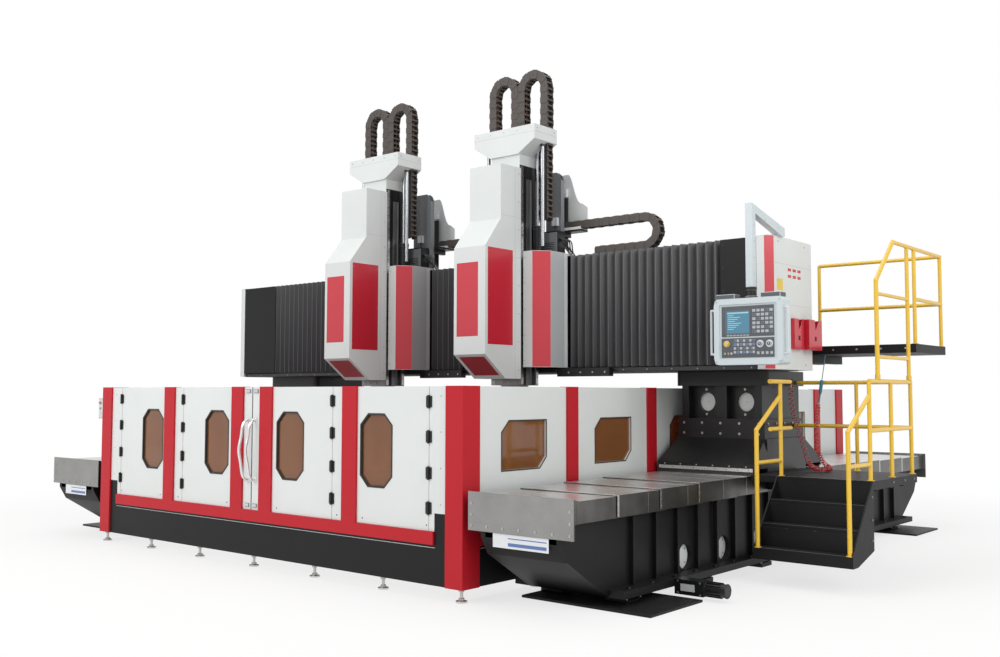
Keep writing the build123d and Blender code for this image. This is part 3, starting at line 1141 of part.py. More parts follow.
rail_inset = STRINGER + SEAT_GAP + RAIL_RADIUS
rail_left = LOWER_X[0] + rail_inset
rail_right = LOWER_X[1] - rail_inset
rail_front = LOWER_Y[0] + rail_inset
rail_back = LOWER_Y[1] - rail_inset
deck = LOWER_FLOOR + SEAT_GAP
stair_front = stair_y - STAIR_REACH + RAIL_RADIUS
bottom_tread = LOWER_FLOOR - STAIR_STEPS * rise + SEAT_GAP
cap_side = BED_CENTRE + cap_half + SEAT_GAP
band_side = BED_CENTRE + COLUMN_WIDTH / 2 + SEAT_GAP
handrail_top = LOWER_RAIL_TOP - HANDRAIL_DROP
handrail_knee = LOWER_RAIL_MIDDLE
with BuildPart() as lower_railing:
    rail_middle = (rail_front + rail_back) / 2
    for post in ((rail_right, rail_front), (rail_right, rail_middle), (rail_right, rail_back),
                 ((rail_left + rail_right) / 2 - STUB_REACH / 2, rail_back), (rail_left, rail_front)):
        tube((*post, deck), (*post, LOWER_RAIL_TOP), POST_RADIUS)
    rail(((rail_right, rail_front, LOWER_RAIL_TOP), (rail_right, rail_back, LOWER_RAIL_TOP),
          (cap_side, rail_back, LOWER_RAIL_TOP)))
    rail(((rail_right, rail_front, LOWER_RAIL_MIDDLE), (rail_right, rail_back, LOWER_RAIL_MIDDLE),
          (band_side, rail_back, LOWER_RAIL_MIDDLE)))
    for stub_z in (LOWER_RAIL_TOP, LOWER_RAIL_MIDDLE):
        tube((rail_left, rail_front - STUB_REACH, stub_z), (rail_left, rail_front + STUB_REACH, stub_z))
    for rail_x in (rail_left, rail_right):
        rail(((rail_x, rail_front, handrail_top), (rail_x, stair_front, handrail_knee),
              (rail_x, stair_front, bottom_tread)))
        tube((rail_x, rail_front, HANDRAIL_BAR), (rail_x, stair_front, HANDRAIL_BAR), POST_RADIUS)
save(lower_railing, "lower_railing")

# Upper platform on two brackets behind the beam, with its railing and side frame
upper_x = (BEAM_HALF_LENGTH - UPPER_INNER, LOWER_X[1])
with BuildPart() as upper_platform:
    block(upper_x, UPPER_Y, (UPPER_FLOOR - UPPER_SLAB, UPPER_FLOOR))
    for offset in UPPER_BRACKET_OFFSETS:
        bracket_x = BEAM_HALF_LENGTH - offset
        block((bracket_x, bracket_x + UPPER_BRACKET_WIDTH), (BEAM_BACK + SEAT_GAP, UPPER_Y[1]),
              (UPPER_FLOOR - UPPER_SLAB - UPPER_BRACKET_DROP, UPPER_FLOOR - UPPER_SLAB))
save(upper_platform, "upper_platform")

upper_deck = UPPER_FLOOR + SEAT_GAP
upper_back = UPPER_Y[1] - RAIL_RADIUS
post_left = upper_x[0] + UPPER_BRACKET_DROP
gate_foot = LOWER_RAIL_TOP + RAIL_RADIUS + SEAT_GAP
with BuildPart() as upper_railing:
    for post in ((post_left, upper_back), (rail_right, upper_back), (rail_right, UPPER_Y[0] + UPPER_SLAB)):
        tube((*post, upper_deck), (*post, UPPER_RAIL_TOP), POST_RADIUS)
    rail(((post_left, upper_back, UPPER_RAIL_TOP), (rail_right, upper_back, UPPER_RAIL_TOP),
          (rail_right, GATE_TOP_Y, UPPER_RAIL_TOP), (rail_right, GATE_FRONT_Y, GATE_KNEE),
          (rail_right, GATE_FRONT_Y, gate_foot)))
    rail(((post_left, upper_back, UPPER_RAIL_MIDDLE), (rail_right, upper_back, UPPER_RAIL_MIDDLE),
          (rail_right, UPPER_Y[0] + UPPER_SLAB, UPPER_RAIL_MIDDLE)))
    tube((rail_right, GATE_REAR_Y, gate_foot), (rail_right, GATE_REAR_Y, UPPER_RAIL_TOP), POST_RADIUS)
    for rung in (GATE_RUNG, UPPER_RAIL_MIDDLE - RAIL_RADIUS):
        tube((rail_right, GATE_FRONT_Y, rung), (rail_right, GATE_REAR_Y, rung), POST_RADIUS - RAIL_BEND)
save(upper_railing, "upper_railing")

# Tool holders folded from sheet, on the outer face of the right end cover
holder_face = BEAM_HALF_LENGTH + SEAT_GAP
with BuildPart() as tool_holders:
    for (start, end), reach in zip(HOLDER_YS, HOLDER_REACHES):
        block((holder_face, holder_face + reach), (start, end), HOLDER_Z)
        block((holder_face + HOLDER_SHEET, holder_face + reach - HOLDER_SHEET),
              (start + HOLDER_SHEET, end - HOLDER_SHEET), (HOLDER_Z[0] + HOLDER_SHEET, HOLDER_Z[1]),
              mode=Mode.SUBTRACT)
        middle = (start + end) / 2
        with BuildSketch(Plane.YZ.offset(holder_face + reach - HOLDER_SHEET)):
            Polygon((middle - 20, HOLDER_Z[1]), (middle + 90, HOLDER_Z[1]),
                    (middle, HOLDER_Z[1] - HOLDER_NOTCH), align=None)
            with Locations((middle, HOLDER_Z[0] + HOLDER_NOTCH)):
                Rectangle(HOLDER_HOLE, HOLDER_HOLE)
        extrude(amount=HOLDER_SHEET, mode=Mode.SUBTRACT)
save(tool_holders, "tool_holders")

# Curly air hose from the column, and the gun that hangs on its end from the upper platform
hose_runs = [Vector(*end) - Vector(*start) for start, end in zip(HOSE_POINTS, HOSE_POINTS[1:])]
hose_radii = []
for first, second in zip(hose_runs, hose_runs[1:]):
    turn = radians(first.get_angle(second))
    hose_radii.append(0.45 * min(first.length, second.length) * cos(turn / 2) / sin(turn / 2))
with BuildPart() as air_hose:
    with BuildLine() as hose_line:
        FilletPolyline(*HOSE_POINTS, radius=hose_radii)
    with BuildSketch(Plane(origin=HOSE_POINTS[0], z_dir=hose_line.line % 0)):
        Circle(HOSE_RADIUS)
    sweep(path=hose_line.line)
save(air_hose, "air_hose")
print("hose radii", [round(radius) for radius in hose_radii])
hose_length = hose_line.wire().length
print("hose tube length", round(hose_length), "volume share",
      round(air_hose.part.volume / (pi * HOSE_RADIUS**2 * hose_length), 3))

hook_top = Vector(LOWER_X[0] - 12, UPPER_Y[0] + HOSE_BOSS / 4,
                  UPPER_FLOOR - UPPER_SLAB - SEAT_GAP - HOOK_RADIUS)
gun_start = Vector(*HOSE_POINTS[-1])
gun_direction = (hook_top - gun_start).normalized()
with BuildPart() as air_gun:
    gun_foot = gun_start + gun_direction * SEAT_GAP
    for distance, length, radius in ((0, 110, GUN_RADIUS / 2), (110, 30, 0.8 * GUN_RADIUS),
                                     (130, GUN_LENGTH - 130, GUN_RADIUS)):
        place = gun_foot + gun_direction * distance
        tube(place, place + gun_direction * length, radius)
    tube(gun_foot + gun_direction * (GUN_LENGTH - HOOK_RADIUS), hook_top, HOOK_RADIUS)
save(air_gun, "air_gun")
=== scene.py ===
"""Dresses the double column machining center: finishes, small parts, hoses, lamps and camera."""

from __future__ import annotations

import logging
import math
from collections.abc import Iterable, Sequence
from dataclasses import dataclass
from enum import Enum
from functools import cache
from itertools import product

import bmesh
import bpy
from mathutils import Matrix, Vector


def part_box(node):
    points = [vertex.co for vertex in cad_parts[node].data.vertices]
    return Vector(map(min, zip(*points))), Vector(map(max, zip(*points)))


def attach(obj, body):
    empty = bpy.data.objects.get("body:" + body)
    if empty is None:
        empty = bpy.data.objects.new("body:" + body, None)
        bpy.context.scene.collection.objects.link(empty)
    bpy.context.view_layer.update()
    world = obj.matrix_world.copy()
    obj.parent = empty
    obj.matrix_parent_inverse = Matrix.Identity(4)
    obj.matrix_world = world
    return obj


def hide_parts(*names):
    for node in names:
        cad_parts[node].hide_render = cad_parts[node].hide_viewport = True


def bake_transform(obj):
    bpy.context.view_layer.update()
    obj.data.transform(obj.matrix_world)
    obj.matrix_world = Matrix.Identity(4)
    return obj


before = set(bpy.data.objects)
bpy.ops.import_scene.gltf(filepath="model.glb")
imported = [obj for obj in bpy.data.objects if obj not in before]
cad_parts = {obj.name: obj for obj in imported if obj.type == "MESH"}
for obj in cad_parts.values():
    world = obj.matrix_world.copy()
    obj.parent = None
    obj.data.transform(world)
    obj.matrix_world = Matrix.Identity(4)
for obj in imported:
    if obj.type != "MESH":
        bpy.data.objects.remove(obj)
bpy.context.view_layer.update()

logging.basicConfig(level=logging.INFO, format="%(message)s")
log = logging.getLogger("machining_center")

Point = tuple[float, float, float]
Pair = tuple[float, float]
Span = Pair
Colour = tuple[float, float, float]
SIDES = (-1.0, 1.0)
FRONT, BACK, UP, DOWN = (0, -1, 0), (0, 1, 0), (0, 0, 1), (0, 0, -1)
WHITE = (1, 1, 1, 1)


class Body(Enum):
    """The moving bodies that pieces ride on."""

    BASE = "base"
    GANTRY = "gantry"
    LEFT_SADDLE = "left_saddle"
    RIGHT_SADDLE = "right_saddle"
    LEFT_HEAD = "left_head"
    RIGHT_HEAD = "right_head"
    PENDANT = "pendant"
    FRONT_COVER_1 = "front_cover_1"
    FRONT_COVER_2 = "front_cover_2"
    REAR_COVER_1 = "rear_cover_1"
    REAR_COVER_2 = "rear_cover_2"


class Side(Enum):
    """The two saddles and heads on the crossbeam."""

    LEFT = "left"
    RIGHT = "right"

    @property
    def saddle(self) -> Body:
        """The saddle body on this side."""
        return Body(self.value + "_saddle")

    @property
    def head(self) -> Body:
        """The head body on this side."""
        return Body(self.value + "_head")


class Along(Enum):
    """The axis that a bar, a profile or a brushed grain runs along."""

    X = 0
    Y = 1
    Z = 2


def span(node: str, axis: Along) -> Span:
    """Returns the lowest and highest place of a CAD node along one axis."""
    low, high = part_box(node)
    return low[axis.value], high[axis.value]


def spans(node: str) -> list[Span]:
    """Returns a CAD node's spans along X, Y and Z."""
    return [span(node, axis) for axis in Along]


def around(middle: float, half: float) -> Span:
    """Returns the span that reaches half to both sides of a middle."""
    return middle - half, middle + half


def off(face: float, by: float) -> Span:
    """Returns the span between a face and a distance from it, lower end first."""
    return min(face, face + by), max(face, face + by)


def steps(start: float, end: float, count: int) -> list[float]:
    """Spreads places evenly from start to end.

    Args:
        start: the first place.
        end: the last place.
        count: how many places; fewer than two give the middle.

    Returns:
        the places in order.
    """
    if count < 2:
        return [(start + end) / 2]
    return [start + (end - start) * index / (count - 1) for index in range(count)]


def heading(degrees: float) -> Pair:
    """Returns the unit vector of an angle."""
    return math.cos(math.radians(degrees)), math.sin(math.radians(degrees))


def circle(radius: float, count: int, start: float = 0.0) -> list[Pair]:
    """Returns points spread evenly round a circle, from a start angle in degrees."""
    turns = (heading(start + 360 * index / count) for index in range(count))
    return [(radius * a, radius * b) for a, b in turns]


def placed(name: str, data: bpy.types.ID) -> bpy.types.Object:
    """Adds a new object to the scene.

    Args:
        name: the object's name.
        data: the mesh, curve or other data that it holds.

    Returns:
        the object.
    """
    made = bpy.data.objects.new(name, data)
    bpy.context.scene.collection.objects.link(made)
    return made


class Graph:
    """A node tree being wired, with short ways to add nodes."""

    def __init__(self, tree: bpy.types.NodeTree) -> None:
        """Starts on a tree."""
        self.tree = tree

    def add(self, kind: str, **settings: object) -> bpy.types.Node:
        """Adds a shader node.

        Args:
            kind: its type, without ShaderNode in front.
            settings: the node's settings by name.

        Returns:
            the node.
        """
        node = self.tree.nodes.new("ShaderNode" + kind)
        for name, value in settings.items():
            setattr(node, name, value)
        return node

    def feed(self, value: object, socket: bpy.types.NodeSocket) -> None:
        """Links a socket into an input, or sets the input to a plain value.

        Args:
            value: the socket, number, vector or colour.
            socket: the input.
        """
        if isinstance(value, bpy.types.NodeSocket):
            self.tree.links.new(value, socket)
        else:
            socket.default_value = value

    def math(self, operation: str, first: object, second: object = None,
             clamp: bool = False) -> bpy.types.NodeSocket:
        """Adds a Math node.

        Args:
            operation: its operation.
            first: a socket or number.
            second: another, where the operation takes two.
            clamp: whether the result is kept from 0 to 1.

        Returns:
            the node's output.
        """
        node = self.add("Math", operation=operation, use_clamp=clamp)
        self.feed(first, node.inputs[0])
        if second is not None:
            self.feed(second, node.inputs[1])
        return node.outputs[0]

    def times(self, first: object, second: object, clamp: bool = False) -> bpy.types.NodeSocket:
        """Multiplies two sockets or numbers and returns the result."""
        return self.math("MULTIPLY", first, second, clamp)

    def vector(self, operation: str, *values: object) -> bpy.types.Node:
        """Adds a Vector Math node.

        Args:
            operation: its operation.
            values: the sockets or vectors that it works on.

        Returns:
            the node.
        """
        node = self.add("VectorMath", operation=operation)
        for index, value in enumerate(values):
            self.feed(value, node.inputs[index])
        return node

    def mix(self, factor: object, first: object, second: object) -> bpy.types.NodeSocket:
        """Mixes two colours.

        Args:
            factor: the share of the second colour, a socket or number.
            first: a socket or colour.
            second: a socket or colour.

        Returns:
            the mixed colour.
        """
        node = self.add("Mix", data_type="RGBA")
        for index, value in ((0, factor), (6, first), (7, second)):
            self.feed(value, node.inputs[index])
        return node.outputs[2]

    def noise(self, vector: bpy.types.NodeSocket, scale: object, detail: float = 3.0,
              rough: float = 0.5) -> bpy.types.NodeSocket:
        """Adds a Noise texture.

        Args:
            vector: the coordinates.
            scale: its scale, a socket or number.
            detail: its detail.
            rough: its roughness.

        Returns:
            the node's value output.
        """
        node = self.add("TexNoise")
        for label, value in (("Vector", vector), ("Scale", scale), ("Detail", detail),
                             ("Roughness", rough)):
            self.feed(value, node.inputs[label])
        return node.outputs["Fac"]

    def ranged(self, value: bpy.types.NodeSocket, to: Span, start: Span = (0.0, 1.0),
               kind: str = "LINEAR") -> bpy.types.NodeSocket:
        """Spreads a value from one range over another.

        Args:
            value: the socket with the value.
            to: the range of the result.
            start: the range of the value.
            kind: the node's interpolation type.

        Returns:
            The result's socket.
        """
        node = self.add("MapRange", interpolation_type=kind)
        for label, number in zip(("From Min", "From Max", "To Min", "To Max"), (*start, *to)):
            node.inputs[label].default_value = number
        self.feed(value, node.inputs["Value"])
        return node.outputs["Result"]

    def place(self) -> bpy.types.NodeSocket:
        """Returns the object coordinates."""
        return self.add("TexCoord").outputs["Object"]

    def split(self, vector: bpy.types.NodeSocket) -> bpy.types.NodeOutputs:
        """Takes a vector apart.

        Args:
            vector: the vector.

        Returns:
            its X, Y and Z outputs.
        """
        node = self.add("SeparateXYZ")
        self.feed(vector, node.inputs[0])
        return node.outputs

    def geometry(self, label: str) -> bpy.types.NodeSocket:
        """Returns an output of the Geometry node, such as the normal."""
        return self.add("NewGeometry").outputs[label]


class Group(Graph):
    """A shader node group with named inputs and outputs."""

    def __init__(self, name: str, inputs: dict[str, object], outputs: Sequence[str]) -> None:
        """Starts a group with its sockets.

        Args:
            name: the group's name.
            inputs: each input's default; a number, a vector or a colour with alpha.
            outputs: the names of the outputs; Colour is a colour, the others are numbers.
        """
        super().__init__(bpy.data.node_groups.new(name, "ShaderNodeTree"))
        for label, default in inputs.items():
            size = len(default) if isinstance(default, tuple) else 1
            kind = {1: "NodeSocketFloat", 3: "NodeSocketVector", 4: "NodeSocketColor"}[size]
            socket = self.tree.interface.new_socket(name=label, in_out="INPUT", socket_type=kind)
            socket.default_value = default
        for label in outputs:
            kind = "NodeSocketColor" if label == "Colour" else "NodeSocketFloat"
            self.tree.interface.new_socket(name=label, in_out="OUTPUT", socket_type=kind)
        self.enter = self.tree.nodes.new("NodeGroupInput")
        self.leave = self.tree.nodes.new("NodeGroupOutput")

    def given(self, label: str) -> bpy.types.NodeSocket:
        """Returns the value that comes in under a name."""
        return self.enter.outputs[label]

    def give(self, **results: bpy.types.NodeSocket) -> bpy.types.NodeTree:
        """Feeds the outputs.

        Args:
            results: what each output puts out, by name.

        Returns:
            the finished group.
        """
        for label, value in results.items():
            self.feed(value, self.leave.inputs[label])
        return self.tree


class Effects:
    """Shader node groups that more than one material uses, each built once."""

    @staticmethod
    @cache
    def grime() -> bpy.types.NodeTree:
        """Builds the group that clouds a colour a little and lays dust on upward faces.

        Returns:
            the group's node tree.
        """
        group = Group("Grime", {"Colour": (0.5, 0.5, 0.5, 1), "Dust": (0.4, 0.38, 0.35, 1),
                                "Amount": 0.3, "Clouds": 0.08}, ("Colour", "Mask"))
        place = group.place()
        clouds = group.noise(place, 1.7, 4.0, 0.6)
        specks = group.noise(place, 26.0, 5.0, 0.7)
        darker = group.mix(group.times(clouds, group.given("Clouds")), group.given("Colour"),
                           (0.02, 0.02, 0.02, 1))
        up = group.math("MAXIMUM", group.split(group.geometry("Normal"))["Z"], 0.0)
        patchy = group.times(group.math("POWER", clouds, 1.6), specks)
        mask = group.times(group.times(up, patchy), group.times(group.given("Amount"), 3.0), True)
        return group.give(Colour=group.mix(mask, darker, group.given("Dust")),
                          Mask=group.math("ADD", mask, group.times(clouds, 0.3)))

    @staticmethod
    @cache
    def wear() -> bpy.types.NodeTree:
        """Builds the group that finds rubbed edges, as a mask.

        Returns:
            the group's node tree.
        """
        group = Group("Edge wear", {"Radius": 0.004, "Amount": 0.5}, ("Mask",))
        bevel = group.add("Bevel", samples=4)
        group.feed(group.given("Radius"), bevel.inputs["Radius"])
        dot = group.vector("DOT_PRODUCT", bevel.outputs[0], group.geometry("Normal"))
        edge = group.times(group.math("SUBTRACT", 1.0, dot.outputs["Value"]), 6.0, True)
        patches = group.noise(group.place(), 18.0, 4.0, 0.7)
        worn = group.times(group.math("SUBTRACT", patches, 0.42), 5.0, True)
        return group.give(Mask=group.times(group.times(edge, worn), group.given("Amount"), True))

    @staticmethod
    @cache
    def peel() -> bpy.types.NodeTree:
        """Builds the group for the fine orange-peel height of sprayed paint.

        Returns:
            the group's node tree.
        """
        group = Group("Paint peel", {"Scale": 220.0}, ("Height",))
        place = group.place()
        fine = group.times(group.noise(place, group.given("Scale"), 2.0), 0.35)
        return group.give(Height=group.math("ADD", fine, group.noise(place, 7.0, 2.0)))

    @staticmethod
    @cache
    def grain() -> bpy.types.NodeTree:
        """Builds the group for machined metal, with fine lines along one axis.

        Returns:
            the group's node tree.
        """
        group = Group("Brushed grain", {"Stretch": (1.0, 1.0, 1.0), "Scale": 60.0},
                      ("Lines", "Patches"))
        place = group.place()
        drawn = group.vector("MULTIPLY", place, group.given("Stretch")).outputs[0]
        return group.give(Lines=group.noise(drawn, group.given("Scale"), 4.0, 0.65),
                          Patches=group.noise(place, 2.3, 5.0, 0.65))

    @staticmethod
    @cache
    def upright() -> bpy.types.NodeTree:
        """Builds the group that finds upright faces, long sides more than ends, unevenly, as the
        mask of painted shade on sides.

        Returns:
            the group's node tree.
        """
        group = Group("Painted side shade", {"Amount": 0.5}, ("Mask",))
        normal = group.split(group.geometry("Normal"))
        ends = group.times(group.math("ABSOLUTE", normal["Y"]), 0.62)
        side = group.math("ADD", group.math("ABSOLUTE", normal["X"]), ends)
        uneven = group.math("ADD", group.times(group.noise(group.place(), 4.0), 0.3), 0.8)
        both = group.times(side, group.times(uneven, group.given("Amount")))
        return group.give(Mask=group.math("MINIMUM", both, 1.0))

    @staticmethod
    @cache
    def weave() -> bpy.types.NodeTree:
        """Builds the group for the weave of coated bellows cloth.

        Returns:
            the group's node tree.
        """
        group = Group("Cloth weave", {"Threads": 500.0}, ("Height",))
        place = group.split(group.place())
        waves = [group.math("SINE", group.times(place[axis], group.given("Threads")))
                 for axis in ("X", "Z")]
        return group.give(Height=group.times(*waves))


class Recipe(Graph):
    """A material being wired: its node tree and its shader."""

    def __init__(self, name: str, colour: Colour, roughness: float, **values: object) -> None:
        """Starts a material.

        Args:
            name: the material's name.
            colour: its base colour.
            roughness: its roughness.
            values: the shader's other plain values.
        """
        self.material = bpy.data.materials.new(name)
        self.material.use_nodes = True
        super().__init__(self.material.node_tree)
        self.shader = self.tree.nodes["Principled BSDF"]
        self.colour, self.roughness = (*colour, 1), roughness
        self.material.diffuse_color = self.colour
        self.set(Base_Color=self.colour, Roughness=roughness, **values)

    def set(self, **values: object) -> None:
        """Sets or links the shader's inputs."""
        for label, value in values.items():
            self.feed(value, self.shader.inputs[label.replace("_", " ")])

    def group(self, tree: bpy.types.NodeTree, **values: object) -> bpy.types.NodeOutputs:
        """Places a shared group with its own values.

        Args:
            tree: the shared group.
            values: the values of its inputs by name.

        Returns:
            the outputs of the node.
        """
        node = self.add("Group", node_tree=tree)
        for label, value in values.items():
            node.inputs[label].default_value = value
        return node.outputs

    def rough(self, value: bpy.types.NodeSocket, less: float, more: float) -> None:
        """Lets a 0 to 1 value vary the roughness."""
        self.set(Roughness=self.ranged(value, (self.roughness - less, self.roughness + more)))

    def soil(self, less: float, more: float, **values: object) -> None:
        """Lets the shared grime vary colour and roughness.

        Args:
            less: how much smoother clean places are.
            more: how much rougher soiled places are.
            values: the grime group's values.
        """
        grime = self.group(Effects.grime(), Colour=self.colour, **values)
        self.set(Base_Color=grime["Colour"])
        self.rough(grime["Mask"], less, more)

    def bump(self, height: bpy.types.NodeSocket, strength: float, distance: float) -> None:
        """Feeds a height into the shader's normal.

        Args:
            height: the height.
            strength: how strongly it shows.
            distance: the height in metres that it stands for.
        """
        node = self.add("Bump")
        for label, value in (("Height", height), ("Strength", strength), ("Distance", distance)):
            self.feed(value, node.inputs[label])
        self.set(Normal=node.outputs["Normal"])


@dataclass(frozen=True)
class Paint:
    """Sprayed machine paint with a little orange peel, dust on flat tops and rubbed edges."""

    name: str
    colour: Colour
    roughness: float = 0.35
    coat: float = 0.2
    dust: float = 0.25
    wear: float = 0.35
    under: Colour = (0.30, 0.30, 0.30)
    peel: float = 0.12
    specular: float = 0.5

    def make(self) -> bpy.types.Material:
        """Wires the material.

        Returns:
            the finished material.
        """
        recipe = Recipe(self.name, self.colour, self.roughness, Coat_Weight=self.coat,
                        Coat_Roughness=0.12, Specular_IOR_Level=self.specular)
        grime = recipe.group(Effects.grime(), Colour=recipe.colour, Dust=(0.42, 0.40, 0.37, 1),
                             Amount=self.dust)
        edge = recipe.group(Effects.wear(), Amount=self.wear)
        recipe.set(Base_Color=recipe.mix(edge["Mask"], grime["Colour"], (*self.under, 1)))
        recipe.rough(grime["Mask"], 0.05, 0.35)
        recipe.bump(recipe.group(Effects.peel())["Height"], self.peel, 0.0006)
        return recipe.material


@dataclass(frozen=True)
class Metal:
    """Bare machined, brushed or plated metal with fine lines along one axis."""

    name: str
    colour: Colour
    roughness: float = 0.3
    along: Along = Along.Z
    lines: float = 0.25
    oil: Colour = (0.20, 0.19, 0.17)
    oiled: float = 0.25
    metallic: float = 1.0
    # How strongly upright faces are darkened as painted shade.
    sides: float = 0.0

    def make(self) -> bpy.types.Material:
        """Wires the material, whose upright faces can be darkened as painted shade.

        Returns:
            the finished material.
        """
        recipe = Recipe(self.name, self.colour, self.roughness, Metallic=self.metallic)
        stretch = tuple(1.0 if axis is self.along else 40.0 for axis in Along)
        grain = recipe.group(Effects.grain(), Stretch=stretch, Scale=6.0)
        stain = recipe.ranged(grain["Patches"], (-self.oiled, 2.2 * self.oiled))
        colour = recipe.mix(stain, recipe.colour, (*self.oil, 1))
        if self.sides:
            # Upright faces are mixed towards near-black by the side mask: painted shade on the
            # sides.
            upright = recipe.group(Effects.upright(), Amount=self.sides)["Mask"]
            colour = recipe.mix(upright, colour, (0.035, 0.034, 0.032, 1))
        recipe.set(Base_Color=colour)
        recipe.rough(grain["Lines"], self.lines / 2, self.lines)
        recipe.bump(grain["Lines"], self.lines, 0.0004)
        return recipe.material


@dataclass(frozen=True)
class Cloth:
    """Coated cloth of the bellows."""

    name: str
    colour: Colour
    roughness: float = 0.6

    def make(self) -> bpy.types.Material:
        """Wires the material.

        Returns:
            the finished material.
        """
        recipe = Recipe(self.name, self.colour, self.roughness, Sheen_Weight=0.25)
        recipe.soil(0.12, 0.2, Amount=0.35, Clouds=0.2)
        recipe.bump(recipe.group(Effects.weave())["Height"], 0.2, 0.0005)
        return recipe.material


@dataclass(frozen=True)
class Plastic:
    """Moulded plastic or rubber with a fine texture."""

    name: str
    colour: Colour
    roughness: float = 0.5
    coat: float = 0.0
    texture: float = 0.15
    clear: float = 0.0
    glow: float = 0.0

    def make(self) -> bpy.types.Material:
        """Wires the material.

        Returns:
            the finished material.
        """
        recipe = Recipe(self.name, self.colour, self.roughness, Coat_Weight=self.coat,
                        Transmission_Weight=self.clear)
        if self.glow:
            recipe.set(Emission_Color=recipe.colour, Emission_Strength=self.glow)
        recipe.soil(0.08, 0.2, Amount=0.12, Clouds=0.1)
        recipe.bump(recipe.group(Effects.peel(), Scale=700.0)["Height"], self.texture, 0.0004)
        return recipe.material


@dataclass(frozen=True)
class Glass:
    """Tinted window glass."""

    name: str
    colour: Colour
    roughness: float = 0.06
    clear: float = 0.55

    def make(self) -> bpy.types.Material:
        """Wires the material.

        Returns:
            the finished material.
        """
        recipe = Recipe(self.name, self.colour, self.roughness, Transmission_Weight=self.clear,
                        IOR=1.45, Coat_Weight=0.2)
        recipe.soil(0.02, 0.18, Amount=0.1, Clouds=0.5)
        recipe.bump(recipe.group(Effects.peel(), Scale=4.0)["Height"], 0.05, 0.002)
        return recipe.material


class Finishes:
    """Every finish of the machine, made once and found by name."""

    RECIPES = (
        Paint("black_paint", (0.008, 0.008, 0.009), 0.38, coat=0.12, dust=0.05, wear=0.4,
              under=(0.10, 0.10, 0.105), specular=0.3),
        Paint("floor_black_paint", (0.006, 0.006, 0.007), 0.5, coat=0.03, dust=0.05, wear=0.3,
              under=(0.08, 0.08, 0.08), peel=0.3, specular=0.22),
        Paint("red_paint", (0.60, 0.016, 0.036), 0.33, coat=0.35, dust=0.08, wear=0.12,
              under=(0.20, 0.02, 0.02)),
        Paint("guard_red_paint", (0.50, 0.008, 0.018), 0.45, coat=0.05, dust=0.05, wear=0.12,
              under=(0.18, 0.02, 0.02), specular=0.25),
        Paint("deep_red_paint", (0.40, 0.008, 0.020), 0.4, coat=0.2, dust=0.08, wear=0.12,
              under=(0.16, 0.02, 0.02)),
        Paint("white_paint", (0.73, 0.76, 0.75), 0.42, coat=0.15, dust=0.06, wear=0.08,
              under=(0.55, 0.55, 0.53)),
        Paint("pale_grey_paint", (0.52, 0.54, 0.55), 0.42, coat=0.1, dust=0.08, wear=0.15),
        Paint("blue_grey_paint", (0.60, 0.67, 0.70), 0.38, coat=0.2, dust=0.05, wear=0.1),
        Paint("grey_paint", (0.20, 0.21, 0.22), 0.45, coat=0.1, dust=0.15, wear=0.2),
        Paint("yellow_paint", (0.83, 0.52, 0.035), 0.35, coat=0.3, dust=0.06, wear=0.18,
              under=(0.30, 0.22, 0.08)),
        Metal("machined_iron", (0.32, 0.32, 0.33), 0.36, oiled=0.3),
        Metal("table_iron", (0.36, 0.36, 0.36), 0.38, Along.Y, oiled=0.3),
        # sides=0.9 darkens the upright faces of the way covers: painted shade.
        Metal("stainless_sheet", (0.64, 0.635, 0.62), 0.28, Along.X, lines=0.2, oiled=0.2,
              oil=(0.27, 0.26, 0.24), metallic=0.9, sides=0.9),
        Metal("bright_steel", (0.66, 0.66, 0.66), 0.22, lines=0.15, oiled=0.1),
        Metal("chrome", (0.78, 0.79, 0.80), 0.08, lines=0.05, oiled=0.05),
        Metal("rod_chrome", (0.36, 0.37, 0.39), 0.2, lines=0.1, oiled=0.15),
        Metal("zinc_bolt", (0.48, 0.47, 0.45), 0.32, lines=0.2, oiled=0.2),
        Metal("black_bolt", (0.045, 0.045, 0.05), 0.42, lines=0.2, oiled=0.2),
        Metal("brass", (0.62, 0.42, 0.16), 0.3, lines=0.2, oiled=0.2),
        Cloth("bellows_cloth", (0.036, 0.036, 0.040), 0.5),
        Plastic("black_rubber", (0.018, 0.018, 0.018), 0.6),
        Plastic("chain_plastic", (0.060, 0.048, 0.040), 0.55, texture=0.3),
        Plastic("brown_hose", (0.16, 0.075, 0.035), 0.45),
        Plastic("black_cable", (0.012, 0.012, 0.013), 0.45),
        Plastic("red_hose", (0.62, 0.035, 0.030), 0.25, coat=0.4, clear=0.25),
        Plastic("gun_plastic", (0.035, 0.17, 0.24), 0.4),
        Plastic("pale_plastic", (0.66, 0.70, 0.72), 0.5),
        Plastic("panel_plastic", (0.075, 0.085, 0.095), 0.45),
        Plastic("key_plastic", (0.45, 0.48, 0.50), 0.5),
        Plastic("key_dark", (0.10, 0.12, 0.14), 0.5),
        Plastic("button_yellow", (0.85, 0.48, 0.03), 0.4, coat=0.3),
        Plastic("button_red", (0.70, 0.05, 0.02), 0.35, coat=0.4),
        Plastic("button_green", (0.05, 0.40, 0.10), 0.35, coat=0.4),
        Plastic("screen_blue", (0.06, 0.20, 0.30), 0.25, coat=0.3, glow=0.2),
        Plastic("screen_line", (0.26, 0.52, 0.60), 0.3, glow=0.3),
        # Lighter grey of the strips on the bellows' crests: a painted highlight on the folds.
        Plastic("pleat_crest_highlight", (0.14, 0.14, 0.15), 0.5),
        Plastic("label_yellow", (0.80, 0.60, 0.06), 0.45),
        Plastic("label_red", (0.62, 0.03, 0.03), 0.45),
        Plastic("label_white", (0.78, 0.80, 0.82), 0.4, coat=0.2),
        Plastic("label_blue", (0.10, 0.18, 0.42), 0.4, coat=0.2),
        Glass("tinted_glass", (0.42, 0.165, 0.055)),
    )

    def __init__(self) -> None:
        """Makes every finish."""
        self._made = {recipe.name: recipe.make() for recipe in self.RECIPES}

    def __getitem__(self, name: str) -> bpy.types.Material:
        """Returns the finish of that name."""
        return self._made[name]


